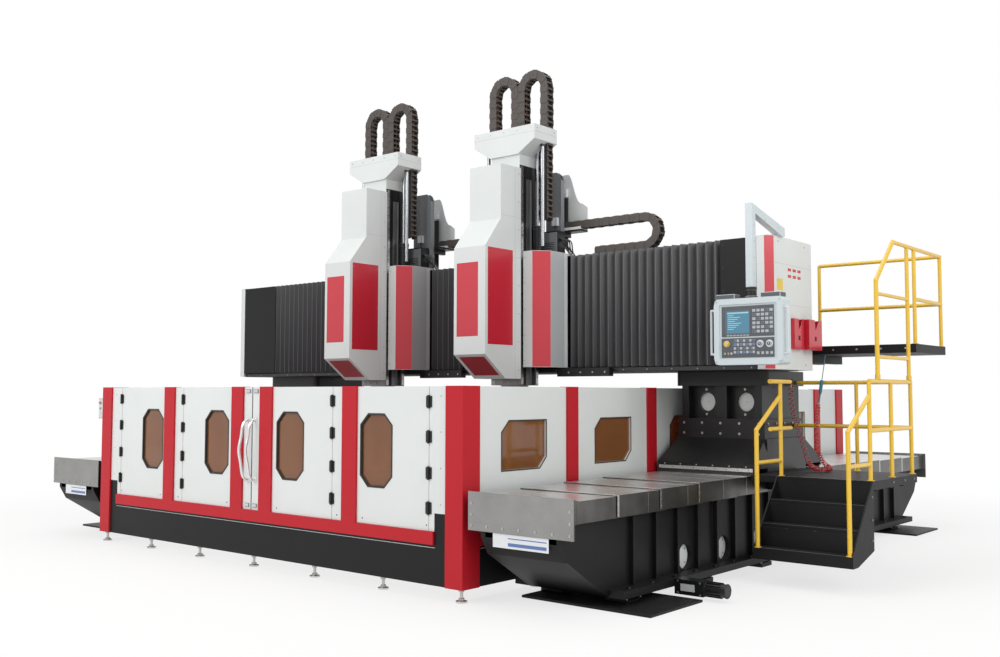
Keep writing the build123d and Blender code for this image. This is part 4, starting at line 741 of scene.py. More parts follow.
class Piece:
    """One piece of the machine being shaped in the row frame, in metres."""

    def __init__(self, name: str, shop: Finishes) -> None:
        """Starts an empty piece.

        Args:
            name: the finished object's name.
            shop: the finishes to paint it with.
        """
        self.name, self.shop = name, shop
        self.mesh = bmesh.new()
        self.slots: list[str] = []

    def paint(self, faces: Iterable[bmesh.types.BMFace], finish: str) -> None:
        """Gives new faces a finish.

        Args:
            faces: the faces.
            finish: the name of the finish.
        """
        if finish not in self.slots:
            self.slots.append(finish)
        index = self.slots.index(finish)
        for face in faces:
            face.material_index = index

    def _loft(self, rings: Sequence[Sequence[Point]]) -> list[bmesh.types.BMFace]:
        """Joins closed rings of points with walls and ends.

        Args:
            rings: the rings, each with as many points.

        Returns:
            the faces, ends first.
        """
        loops = [[self.mesh.verts.new(point) for point in ring] for ring in rings]
        faces = [self.mesh.faces.new(loops[0][::-1]), self.mesh.faces.new(loops[-1])]
        for ring, after in zip(loops, loops[1:]):
            for index in range(len(ring)):
                nxt = (index + 1) % len(ring)
                faces.append(self.mesh.faces.new((ring[index], ring[nxt], after[nxt],
                                                  after[index])))
        return faces

    def _soften(self, faces: Iterable[bmesh.types.BMFace], soft: float) -> None:
        """Rounds the edges of some faces.

        Args:
            faces: the faces.
            soft: how far their edges are rounded.
        """
        if soft > 0:
            edges = list(dict.fromkeys(edge for face in faces for edge in face.edges))
            bmesh.ops.bevel(self.mesh, geom=edges, offset=soft, segments=1, profile=0.5,
                            affect="EDGES", clamp_overlap=True)

    def _solid(self, rings: Sequence[Sequence[Point]], finish: str, soft: float) -> None:
        """Adds a body between two rings, turned outwards, painted and rounded.

        Args:
            rings: the rings.
            finish: the name of the finish.
            soft: how far the edges are rounded.
        """
        faces = self._loft(rings)
        bmesh.ops.recalc_face_normals(self.mesh, faces=faces)
        self.paint(faces, finish)
        self._soften(faces, soft)

    def box(self, x: Span, y: Span, z: Span, finish: str, soft: float = 0.002) -> None:
        """Adds a block with softened edges.

        Args:
            x: its span along X.
            y: its span along Y.
            z: its span along Z.
            finish: the finish of all its faces.
            soft: how far the edges are rounded.
        """
        corners = ((x[0], y[0]), (x[1], y[0]), (x[1], y[1]), (x[0], y[1]))
        self._solid([[(*corner, height) for corner in corners] for height in z], finish, soft)

    def prism(self, outline: Sequence[Pair], axis: Along, ends: Span, finish: str,
              soft: float = 0.0) -> None:
        """Adds a straight bar with a drawn section.

        Args:
            outline: the section's corners; (y, z) for X, (x, z) for Y and (x, y) for Z.
            axis: the way the bar runs.
            ends: where it starts and ends along that axis.
            finish: the finish of all its faces.
            soft: how far the edges are rounded.
        """
        at = axis.value
        self._solid([[(*pair[:at], end, *pair[at:]) for pair in outline] for end in ends],
                    finish, soft)

    def plate(self, corners: Sequence[Point], thickness: float, finish: str,
              soft: float = 0.0004) -> None:
        """Adds a thin plate over a flat outline in space.

        Args:
            corners: the outline, counter-clockwise seen from outside.
            thickness: how far the plate stands out of that plane.
            finish: the finish of all its faces.
            soft: how far the edges are rounded.
        """
        points = [Vector(corner) for corner in corners]
        normal = Vector()
        for index, point in enumerate(points):
            normal += point.cross(points[(index + 1) % len(points)])
        normal.normalize()
        self._solid([[point + normal * height for point in points] for height in (0, thickness)],
                    finish, soft)

    def rod(self, start: Sequence[float], end: Sequence[float], radius: float, finish: str,
            sides: int = 20, soft: float = 0.0, tip: float | None = None) -> None:
        """Adds a round bar or cone between two points.

        Args:
            start: the middle of its first end.
            end: the middle of its other end.
            radius: its radius.
            finish: the finish of all its faces.
            sides: the number of flat sides.
            soft: how far the end edges are rounded.
            tip: the radius at the other end, where that differs.
        """
        first, last = Vector(start), Vector(end)
        way = last - first
        turn = way.to_track_quat("Z", "Y").to_matrix().to_4x4()
        place = Matrix.Translation((first + last) / 2) @ turn
        half = way.length / 2
        faces = self._loft([[place @ Vector((*pair, height)) for pair in circle(size, sides)]
                            for height, size in ((-half, radius), (half, tip or radius))])
        self.paint(faces, finish)
        self._soften(faces[:2], soft)

    def stubs(self, places: Iterable[Sequence[float]], out: Sequence[float], length: float,
              radius: float, finish: str = "zinc_bolt", sides: int = 12,
              soft: float = 0.0008) -> None:
        """Adds short round bars, such as flat screw heads, that stand out of a surface.

        Args:
            places: where they start.
            out: the direction out of the surface.
            length: how far they stand out.
            radius: their radius.
            finish: their finish.
            sides: the number of flat sides.
            soft: how far the end edges are rounded.
        """
        for place in places:
            start = Vector(place)
            self.rod(start, start + Vector(out) * length, radius, finish, sides, soft)

    def ball(self, centre: Sequence[float], radius: float, finish: str, sides: int = 16) -> None:
        """Adds a ball.

        Args:
            centre: its centre.
            radius: its radius.
            finish: the name of the finish.
            sides: the number of segments round it.
        """
        made = bmesh.ops.create_uvsphere(self.mesh, u_segments=sides, v_segments=sides // 2,
                                         radius=radius, matrix=Matrix.Translation(centre))
        self.paint({face for vert in made["verts"] for face in vert.link_faces}, finish)

    def tube(self, path: Sequence[Sequence[float]], radius: float, finish: str,
             sides: int = 8) -> None:
        """Sweeps a round section along points.

        Args:
            path: the points it follows.
            radius: its radius.
            finish: the finish of all its faces.
            sides: the number of flat sides.
        """
        points = [Vector(point) for point in path]
        ways = [(after - point).normalized() for point, after in zip(points, points[1:])]
        normal = ways[0].orthogonal().normalized()
        rings = []
        for index, point in enumerate(points):
            way = (ways[max(index - 1, 0)] + ways[min(index, len(ways) - 1)]).normalized()
            normal = (normal - way * normal.dot(way)).normalized()
            across = way.cross(normal)
            rings.append([point + normal * a + across * b for a, b in circle(radius, sides)])
        self.paint(self._loft(rings), finish)

    def bolts(self, places: Iterable[Sequence[float]], out: Sequence[float], radius: float,
              finish: str = "zinc_bolt", height: float = 0.6, washer: bool = True) -> None:
        """Adds hexagon bolt heads on their washers.

        Args:
            places: where the bolts meet the surface.
            out: the direction out of the surface.
            radius: the heads' radius.
            finish: their finish.
            height: the heads' height as a share of their radius.
            washer: whether washers lie under them.
        """
        thick = 0.18 if washer else 0.0
        for place in places:
            base, way = Vector(place), Vector(out) * radius
            if washer:
                self.rod(base, base + way * thick, radius * 1.3, finish, 16)
            self.rod(base + way * thick, base + way * (thick + height), radius, finish, 6,
                     radius * 0.08)

    def screws(self, places: Iterable[Sequence[float]], out: Sequence[float], radius: float,
               finish: str = "black_bolt") -> None:
        """Adds round cap screws with their hexagon holes.

        Args:
            places: where the screws meet the surface.
            out: the direction out of the surface.
            radius: the heads' radius.
            finish: the heads' finish.
        """
        for place in places:
            base, way = Vector(place), Vector(out) * radius
            self.rod(base, base + way * 0.8, radius, finish, 14, radius * 0.12)
            self.rod(base + way * 0.78, base + way * 0.82, radius * 0.55, "black_rubber", 6)

    def done(self, body: Body, replaces: Sequence[str] = (), ride: bool = True,
             smooth: float = 32.0) -> bpy.types.Object:
        """Turns the shaped mesh into an object on its body.

        Args:
            body: the body it moves with.
            replaces: the CAD nodes that it stands for.
            ride: False leaves it unattached to its body.
            smooth: the angle in degrees above which an edge stays sharp.

        Returns:
            The object.
        """
        data = bpy.data.meshes.new(self.name)
        self.mesh.to_mesh(data)
        self.mesh.free()
        for name in self.slots:
            data.materials.append(self.shop[name])
        data.polygons.foreach_set("use_smooth", [True] * len(data.polygons))
        data.set_sharp_from_angle(angle=math.radians(smooth))
        piece = placed(self.name, data)
        if ride:
            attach(piece, body.value)
        if replaces:
            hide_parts(*replaces)
        log.info("%s: %d faces on %s", self.name, len(data.polygons), body.value)
        return piece


def rounded(x: Span, y: Span, radius: float, count: int = 5) -> list[Pair]:
    """Returns the outline of a rectangle with round corners.

    Args:
        x: the span of its first coordinate.
        y: the span of its second coordinate.
        radius: the corner radius.
        count: how many points each corner has.

    Returns:
        The corner points, counter-clockwise.
    """
    points = []
    for corner, (right, up) in enumerate(((1, 1), (0, 1), (0, 0), (1, 0))):
        middle = (x[right] - radius * (2 * right - 1), y[up] - radius * (2 * up - 1))
        for turn in steps(90 * corner, 90 * corner + 90, count):
            a, b = heading(turn)
            points.append((middle[0] + radius * a, middle[1] + radius * b))
    return points


def spline_points(points: Sequence[Point], fine: int) -> list[Vector]:
    """Returns points read from the smooth line that a route's control points give.

    Args:
        points: the control points.
        fine: how finely each stretch is divided.

    Returns:
        The points along the line.
    """
    curve = bpy.data.curves.new("route", "CURVE")
    curve.dimensions = "3D"
    curve.resolution_u = fine
    line = curve.splines.new("NURBS")
    line.points.add(len(points) - 1)
    for control, point in zip(line.points, points):
        control.co = (*point, 1)
    line.order_u = 3
    line.use_endpoint_u = True
    holder = placed("route", curve)
    bpy.context.view_layer.update()
    shown = holder.evaluated_get(bpy.context.evaluated_depsgraph_get())
    mesh = bpy.data.meshes.new_from_object(shown)
    found = [vertex.co.copy() for vertex in mesh.vertices]
    bpy.data.meshes.remove(mesh)
    bpy.data.objects.remove(holder)
    bpy.data.curves.remove(curve)
    return found


def grown(outline: Sequence[Pair], by: float) -> list[Pair]:
    """Grows a counter-clockwise convex outline outwards.

    Args:
        outline: its corners.
        by: the width added all round.

    Returns:
        the corners of the larger outline.
    """
    points = [Vector(pair) for pair in outline]
    found = []
    for index, here in enumerate(points):
        before, after = points[index - 1], points[(index + 1) % len(points)]
        first, second = (here - before).normalized(), (after - here).normalized()
        out = Vector((first.y + second.y, -first.x - second.x))
        found.append(tuple(here + out * by / (1 + first.dot(second))))
    return found


def framed(piece: Piece, outline: Sequence[Pair], axis: Along, ends: Span, width: float,
           finish: str) -> None:
    """Adds a frame round a flat outline.

    Args:
        piece: the piece that gets the frame.
        outline: the inner outline, counter-clockwise.
        axis: the axis it faces.
        ends: its back and front along that axis.
        width: how wide its bars are.
        finish: its finish.
    """
    outer = grown(outline, width)
    for index in range(len(outline)):
        after = (index + 1) % len(outline)
        bar = [outline[index], outline[after], outer[after], outer[index]]
        piece.prism(bar, axis, ends, finish)


def cut_rectangle(x: Span, z: Span, cut: float, corners: str = "1111") -> list[Pair]:
    """Returns a rectangle with corners cut off.

    Args:
        x: its span along the first coordinate.
        z: its span along the second coordinate.
        cut: how much of each side a cut corner takes.
        corners: 1 or 0 for each corner, from the lower left one, counter-clockwise.

    Returns:
        The corner points, counter-clockwise.
    """
    points = []
    for flag, (a, b, first, second) in zip(corners, (
            (x[0], z[0], (0, 1), (1, 0)), (x[1], z[0], (-1, 0), (0, 1)),
            (x[1], z[1], (0, -1), (-1, 0)), (x[0], z[1], (1, 0), (0, -1)))):
        reach = cut if flag == "1" else 0.0
        cuts = (first, second) if reach else (first,)
        points += [(a + way[0] * reach, b + way[1] * reach) for way in cuts]
    return points


def corner_strip(piece: Piece, sx: float, inner: Pair, outer: Pair, z: Span) -> None:
    """Lays a red strip over an upright bevelled edge.

    Args:
        piece: the piece that gets it.
        sx: the side that it faces, -1 or 1.
        inner: X and Y of its first edge, counter-clockwise on the right side.
        outer: X and Y of its other edge.
        z: its span along Z.
    """
    corners = [(*inner, z[0]), (*outer, z[0]), (*outer, z[1]), (*inner, z[1])]
    piece.plate(corners if sx > 0 else corners[::-1], 0.0012, "red_paint")


@dataclass
class Studio:
    """The camera at the photograph's place, a pale floor and soft lamps."""

    eye: Point = (8.505, -10.258, 1.700)
    azimuth: float = 40.024
    pitch: float = 3.489
    roll: float = 0.1026
    focal_pixels: float = 1037.4
    frame_size: tuple[int, int] = (1000, 657)
    centre_row: float = 330.4
    sensor: float = 36.0
    floor_half: float = 30.0
    floor_glow: float = 0.72
    floor_fade: Span = (5.0, 10.0)
    sky: float = 0.55
    lamps: tuple[tuple[str, Point, Point, float, float], ...] = (
        ("front_lamp", (-3.0, -14.0, 9.0), (0.0, -2.0, 1.5), 8.0, 860.0),
        ("right_lamp", (14.0, -5.0, 8.0), (2.0, -1.0, 1.5), 7.0, 620.0),
        ("top_lamp", (0.0, 0.0, 12.0), (0.0, 0.0, 0.0), 10.0, 450.0))

    def camera(self) -> None:
        """Places the camera."""
        lens = bpy.data.cameras.new("camera")
        width, height = self.frame_size
        lens.sensor_fit = "HORIZONTAL"
        lens.sensor_width = self.sensor
        lens.lens = self.sensor * self.focal_pixels / width
        lens.shift_y = (self.centre_row - height / 2) / width
        lens.clip_end = 200
        (east, north), (level, rise), (flat, tilt) = (
            heading(value) for value in (self.azimuth, self.pitch, self.roll))
        forward = Vector((-north * level, east * level, rise))
        right = Vector((east, north, 0))
        up = right.cross(forward)
        turn = Matrix((right * flat + up * tilt, up * flat - right * tilt, -forward))
        camera = placed("camera", lens)
        camera.matrix_world = Matrix.Translation(self.eye) @ turn.transposed().to_4x4()
        bpy.context.scene.camera = camera

    def floor(self) -> None:
        """Lays a pale floor that keeps the machine's shadow and fades to white far away."""
        recipe = Recipe("pale_floor", (0.86, 0.86, 0.85), 0.75, Specular_IOR_Level=0.1)
        glow = recipe.add("Emission")
        glow.inputs["Color"].default_value = WHITE
        reach = recipe.vector("LENGTH", recipe.geometry("Position")).outputs["Value"]
        fade = recipe.ranged(reach, (self.floor_glow, 1.0), self.floor_fade, "SMOOTHSTEP")
        mix = recipe.add("MixShader")
        shares = (recipe.times(self.seen(recipe), fade), recipe.shader.outputs[0], glow.outputs[0])
        for index, value in enumerate(shares):
            recipe.feed(value, mix.inputs[index])
        recipe.feed(mix.outputs[0], recipe.tree.nodes["Material Output"].inputs["Surface"])
        half = self.floor_half
        data = bpy.data.meshes.new("floor")
        data.from_pydata([(-half, -half, 0), (half, -half, 0), (half, half, 0), (-half, half, 0)],
                         [], [(0, 1, 2, 3)])
        data.materials.append(recipe.material)
        placed("floor", data)

    @staticmethod
    def seen(graph: Graph) -> bpy.types.NodeSocket:
        """Finds what the camera sees directly, in gloss or through glass.

        Args:
            graph: the node tree being wired.

        Returns:
            a mask of it.
        """
        rays = graph.add("LightPath").outputs
        direct = graph.math("MAXIMUM", rays["Is Camera Ray"], rays["Is Glossy Ray"])
        return graph.math("MAXIMUM", direct, rays["Is Transmission Ray"])

    def world(self) -> None:
        """Surrounds the scene with even light and a white background."""
        world = bpy.data.worlds.new("studio")
        world.use_nodes = True
        graph = Graph(world.node_tree)
        back = graph.tree.nodes["Background"]
        back.inputs["Color"].default_value = WHITE
        graph.feed(graph.ranged(self.seen(graph), (self.sky, 1.0)), back.inputs["Strength"])
        bpy.context.scene.world = world

    def build(self) -> None:
        """Sets up camera, floor, light and colour handling."""
        self.camera()
        self.floor()
        self.world()
        for name, place, aim, size, power in self.lamps:
            data = bpy.data.lights.new(name, "AREA")
            data.size, data.energy = size, power
            turn = (Vector(aim) - Vector(place)).to_track_quat("-Z", "Y").to_matrix().to_4x4()
            placed(name, data).matrix_world = Matrix.Translation(place) @ turn
        bpy.context.scene.view_settings.view_transform = "Standard"
        log.info("studio: camera, floor and lamps")


class FactoryFinish:
    """Which finish each carried-over CAD node wears."""

    WORN = {
        "table_iron": ("worktable",),
        "floor_black_paint": ("guard_base", "beds", "bed_feet", "crossbeam", "lower_platform",
                              "stair", "upper_platform"),
        "guard_red_paint": ("guard_frame",),
        "white_paint": ("front_leaves", "rear_panels", "side_panels", "beam_end_covers"),
        "tinted_glass": ("guard_windows",),
        "bright_steel": ("guard_feet",),
        "black_paint": ("leaf_hinges", "floor_motor", "columns"),
        "chrome": ("door_handles",),
        "pale_grey_paint": ("button_box",),
        "stainless_sheet": ("fixed_way_covers", "front_way_cover_1", "front_way_cover_2",
                            "rear_way_cover_1", "rear_way_cover_2", "moving_way_covers"),
        "blue_grey_paint": ("pendant_arm", "pendant_housing"),
        "yellow_paint": ("lower_railing", "upper_railing"),
        "red_paint": ("tool_holders",),
        "gun_plastic": ("air_gun",),
        "bellows_cloth": ("left_bellows", "right_bellows", "middle_left_bellows",
                          "middle_right_bellows"),
        "red_hose": ("air_hose",),
    }
    WORN_PER_SIDE = {
        "black_paint": ("saddle",),
        "white_paint": ("saddle_cover", "chain_trough", "head_cover", "head_cap"),
        "chain_plastic": ("saddle_chain", "ram_chains"),
        "machined_iron": ("ram",),
    }

    def dress(self, shop: Finishes) -> None:
        """Puts the finishes on the CAD nodes.

        Args:
            shop: the finishes.
        """
        wanted = {node: finish for finish, nodes in self.WORN.items() for node in nodes}
        for side, (finish, parts) in product(Side, self.WORN_PER_SIDE.items()):
            wanted.update({f"{side.value}_{part}": finish for part in parts})
        for name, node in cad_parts.items():
            node.data.materials.clear()
            node.data.materials.append(shop[wanted[name]])
        log.info("finishes: %d nodes", len(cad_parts))


@dataclass
class Guard:
    """Small parts of the guard: window seals, fold seams, screws, nuts and the button box."""

    shop: Finishes
    leaf_front: float = -3.940
    leaf_z: Span = (0.556, 1.760)
    side_face: float = 2.802
    wall_face: float = 2.8223
    window_xs: Pair = (0.590, 1.780)
    window_half: Pair = (0.195, 0.315)
    window_middle: float = 1.200
    window_cut: float = 0.095
    side_window_half: Pair = (0.3085, 0.208)
    side_window_middle: float = 1.254
    side_window_ys: tuple[float, ...] = (-3.1311, -1.742, -0.358, 1.026, 2.410)
    seal: float = 0.011
    seal_proud: float = 0.003
    lip: float = 0.006
    hinge_xs: Pair = (1.200, 2.425)
    hinge_zs: tuple[float, ...] = (0.744, 1.035, 1.338, 1.632)
    post_xs: Pair = (0.230, 1.442)
    post_ys: tuple[float, ...] = (-2.434, -1.050, 0.334, 1.718, 3.102)
    foot_half: Pair = (2.755, 3.893)
    handle_x: float = 0.055

    def seals(self) -> None:
        """Frames every window with a thin dark rubber seal."""
        piece = Piece("window_seals", self.shop)
        front, finish = self.leaf_front, "black_rubber"
        for sx, x in product(SIDES, self.window_xs):
            outline = cut_rectangle(around(sx * x, self.window_half[0]),
                                    around(self.window_middle, self.window_half[1]),
                                    self.window_cut)
            framed(piece, outline, Along.Y, (front - self.seal_proud, front), self.seal, finish)
            framed(piece, grown(outline, -self.lip), Along.Y, (front, front + 0.022), self.lip,
                   finish)
        for sx, y in product(SIDES, self.side_window_ys):
            outline = cut_rectangle(around(y, self.side_window_half[0]),
                                    around(self.side_window_middle, self.side_window_half[1]),
                                    self.window_cut, "0101")
            face = sx * self.side_face
            framed(piece, outline, Along.X, (face, face + sx * self.seal_proud), self.seal, finish)
        piece.done(Body.BASE)

    def seams(self) -> None:
        """Marks the folds of the leaves, the meeting doors and the welded joints."""
        piece = Piece("leaf_seams", self.shop)
        front, weld = self.leaf_front, (0.418, 0.424)
        piece.box(around(0.0, 0.005), (front - 0.003, front + 0.002), self.leaf_z, "black_rubber",
                  0.001)
        for sx in SIDES:
            for hinge in self.hinge_xs:
                piece.box(around(sx * hinge, 0.0015), (front - 0.0008, front + 0.002), self.leaf_z,
                          "panel_plastic", 0)
            for lock in (0.600, 1.720):
                piece.box(around(sx * 0.062, 0.035), (front - 0.012, front), around(lock, 0.018),
                          "bright_steel", 0.003)
            piece.box(around(0.0, 2.50), off(sx * 3.9402, sx * 0.0018), weld, "pale_grey_paint",
                      0.0005)
            piece.box(off(sx * self.side_face, sx * 0.002), around(0.0, 3.72), weld,
                      "pale_grey_paint", 0.0005)
        piece.done(Body.BASE)

    def screws(self) -> None:
        """Adds the screws of hinges, posts, corner strips and panels."""
        piece = Piece("guard_screws", self.shop)
        front, red, heights = self.leaf_front, "guard_red_paint", steps(0.62, 1.70, 4)
        for sx in SIDES:
            holes = product(self.hinge_xs, self.hinge_zs, SIDES, SIDES)
            piece.screws(((sx * x + dx * 0.023, front - 0.0083, z + dz * 0.036)
                          for x, z, dx, dz in holes), FRONT, 0.0045)
            piece.stubs(((sx * x, -3.960, z) for x, z in product(self.post_xs, heights)),
                        FRONT, 0.0025, 0.008, red, soft=0.001)
            piece.stubs(((sx * 2.822, y, z) for y, z in product(self.post_ys, heights)),
                        (sx, 0, 0), 0.0025, 0.008, red, soft=0.001)
            piece.stubs(((sx * x, front, 0.60) for x in (0.40, 1.27, 1.61, 2.40)),
                        FRONT, 0.002, 0.007, "black_bolt")
            piece.stubs(((sx * 2.56, front, z) for z in steps(0.78, 1.68, 4)), FRONT, 0.002, 0.006)
        piece.done(Body.BASE)

    def nuts(self) -> None:
        """Puts a jack nut and a lock nut on every foot's stud."""
        piece = Piece("foot_nuts", self.shop)
        half_x, half_y = self.foot_half
        places = [(x, sy * half_y) for x in steps(-half_x, half_x, 7) for sy in SIDES]
        places += [(sx * half_x, y) for y in steps(-half_y, half_y, 9)[1:-1] for sx in SIDES]
        for x, y in places:
            for bottom, height in ((0.014, 0.022), (0.088, 0.021)):
                piece.stubs([(x, y, bottom)], UP, height, 0.026, sides=6, soft=0.002)
            piece.rod((x, y, 0.014), (x, y, 0.022), 0.036, "zinc_bolt", 20, 0.002, tip=0.028)
            piece.stubs(((x, y, thread - 0.0015) for thread in steps(0.040, 0.085, 10)),
                        UP, 0.003, 0.0138, sides=10, soft=0)
        piece.done(Body.BASE)

    def handles(self) -> None:
        """Adds the rosettes and screws of the door handles."""
        piece = Piece("handle_bands", self.shop)
        for sx, z in product(SIDES, (0.850, 1.435)):
            x, front = sx * self.handle_x, self.leaf_front
            piece.stubs([(x, front, z)], FRONT, 0.006, 0.030, "chrome", 24, 0.002)
            piece.screws(((x + dx, front - 0.005, z + dz) for dx, dz in circle(0.025, 3, 45)),
                         FRONT, 0.003)
        piece.done(Body.BASE)

    def buttons(self) -> None:
        """Fits the button box with its lid, buttons, gland and clipped conduit."""
        piece = Piece("button_box_fittings", self.shop)
        (x0, x1), (y0, y1), (z0, z1) = spans("button_box")
        outer, middle, lid = x0 - 0.105, x0 - 0.055, y0 - 0.003
        piece.box((outer, x0 + 0.001), (y0, y1), (z0, z1), "pale_grey_paint", 0.004)
        piece.box((outer + 0.006, x0 - 0.004), (lid, y0), (z0 + 0.008, z1 - 0.008), "pale_plastic")
        for down, reach, length, radius, finish, soft in (
                (0.055, 0.0, 0.007, 0.019, "bright_steel", 0.002),
                (0.055, 0.007, 0.014, 0.016, "button_red", 0.003),
                (0.120, 0.0, 0.005, 0.016, "bright_steel", 0.002),
                (0.120, 0.005, 0.006, 0.012, "button_green", 0.002),
                (0.180, 0.0, 0.005, 0.012, "label_white", 0.002)):
            piece.stubs([(middle, lid - reach, z1 - down)], FRONT, length, radius, finish, 24, soft)
        piece.screws(((middle + dx * 0.030, lid, z)
                      for dx, z in product(SIDES, (z0 + 0.016, z1 - 0.016))), FRONT, 0.0028)
        x, y, wall = (x0 + x1) / 2, (y0 + y1) / 2, -self.wall_face
        piece.stubs([(x, y, z0)], DOWN, 0.020, 0.014, "black_rubber", 6, 0.001)
        piece.rod((x, y, z0 - 0.015), (x, y, 0.470), 0.008, "black_cable", 12)
        for z in steps(0.55, 1.30, 4):
            piece.box((x - 0.012, wall), around(y, 0.014), around(z, 0.008), "bright_steel")
        piece.box((x - 0.035, wall), around(y, 0.030), (0.450, 0.520), "pale_grey_paint", 0.004)
        piece.done(Body.BASE)

    def build(self) -> None:
        """Shapes every small part of the guard."""
        self.seals()
        self.seams()
        self.screws()
        self.nuts()
        self.handles()
        self.buttons()


@dataclass
class Beds:
    """Small parts of the floor beds: closing discs, anchor bolts, jack screws and end plates."""

    shop: Finishes
    centre: float = 3.408
    wall: float = 0.400
    hole_pitch: float = 0.707
    hole_height: float = 0.270
    hole_radius: float = 0.113
    disc: Span = (0.048, 0.006)
    bay: float = 0.3535
    foot_span: float = 3.0007
    end: float = 3.960
    name_plates: tuple[Span, ...] = ((3.135, 3.690), (-3.652, -3.173))

    def discs(self) -> None:
        """Closes the core holes with white discs set back in them."""
        piece = Piece("bed_hole_discs", self.shop)
        depth, thick = self.disc
        for sx, side, index in product(SIDES, SIDES, range(-3, 4)):
            out, y, z = (side, 0, 0), index * self.hole_pitch, self.hole_height
            x = sx * self.centre + side * (self.wall - depth)
            piece.stubs([(x, y, z)], out, thick, self.hole_radius - 0.001, "white_paint", 40, 0.001)
            piece.bolts(((x + side * thick, y + dy, z + dz) for dy, dz in circle(0.085, 4, 45)),
                        out, 0.007)
        piece.done(Body.BASE)

    def bolts(self) -> None:
        """Adds anchor bolts on the flanges and jack screws beside the feet."""
        piece = Piece("bed_bolts", self.shop)
        for sx, side in product(SIDES, SIDES):
            x = sx * self.centre
            piece.bolts(((x + side * 0.500, index * self.bay, 0.150) for index in range(-9, 10)),
                        UP, 0.017, "black_bolt", 0.65)
            piece.bolts(((x + side * 0.440, y + 0.06, 0.775) for y in steps(-3.6, 3.6, 15)),
                        (side, 0, 0), 0.008, height=0.5, washer=False)
            foot = x + side * 0.330
            for y, dy in product(steps(-self.foot_span, self.foot_span, 6), SIDES):
                piece.bolts([(foot, y + dy * 0.0825, 0.065)], (0, dy, 0), 0.012)
                piece.bolts([(foot + side * 0.097, y + dy * 0.097, 0.040)], UP, 0.009)
        piece.done(Body.BASE)

    def plates(self) -> None:
        """Adds the bare name plates and the bolts of the covers' end plates."""
        piece = Piece("bed_end_plates", self.shop)
        for left, right in self.name_plates:
            piece.box((left, right), (-3.9485, -3.9457), (0.492, 0.602), "label_white", 0.001)
            for z in ((0.566, 0.574), (0.510, 0.536)):
                piece.box((left + 0.28 * (right - left), right - 0.02), (-3.9492, -3.9484), z,
                          "label_blue", 0)
        for sx, sy in product(SIDES, SIDES):
            rows = [(dx, 0.642) for dx in steps(-0.49, 0.49, 7)]
            rows += product((-0.49, 0.49), (0.73, 0.82))
            piece.bolts(((sx * self.centre + dx, sy * self.end, z) for dx, z in rows),
                        (0, sy, 0), 0.009)
        piece.done(Body.BASE)

    def noses(self) -> None:
        """Closes the raised ends of the beds between their walls."""
        piece = Piece("bed_end_sheets", self.shop)
        half, tip = 0.3545, span("beds", Along.Y)[1]
        outer = ((tip, 0.7295), (tip, 0.560), (tip - 0.080, 0.420), (tip - 0.619, 0.0905))
        inner = [(y - 0.012, z) for y, z in reversed(outer)]
        for sx, sy in product(SIDES, SIDES):
            outline = [(sy * y, z) for y, z in (*outer, *inner)]
            piece.prism(outline, Along.X, around(sx * self.centre, half), "floor_black_paint",
                        0.001)
        piece.done(Body.BASE, smooth=20)

    def motor(self) -> None:
        """Adds the end shield, terminal box, screws and bolts of the small floor motor."""
        piece = Piece("floor_motor_fittings", self.shop)
        (x0, x1), (y0, y1), (z0, z1) = spans("floor_motor")
        y, z, right = (y0 + y1) / 2, (z0 + z1) / 2, (1, 0, 0)
        piece.stubs([(x1 - 0.012, y, z)], right, 0.014, 0.060, "black_paint", 32, 0.003)
        piece.stubs([(x0 + 0.266, y, z)], right, 0.014, 0.064, "black_paint", 32, 0.002)
        piece.screws(((x1 + 0.002, y + dy, z + dz) for dy, dz in circle(0.048, 6)), right, 0.0045)
        piece.box((x0 + 0.06, x0 + 0.19), (y0 - 0.004, y0 + 0.003), around(z, 0.030),
                  "label_white", 0.001)
        piece.bolts(((x0 + dx, y0 + 0.003, z + dz * 0.048)
                     for dx, dz in product((0.03, 0.24), SIDES)), FRONT, 0.007)
        piece.done(Body.BASE)

    def build(self) -> None:
        """Shapes every small part of the beds."""
        self.discs()
        self.bolts()
        self.noses()
        self.plates()
        self.motor()


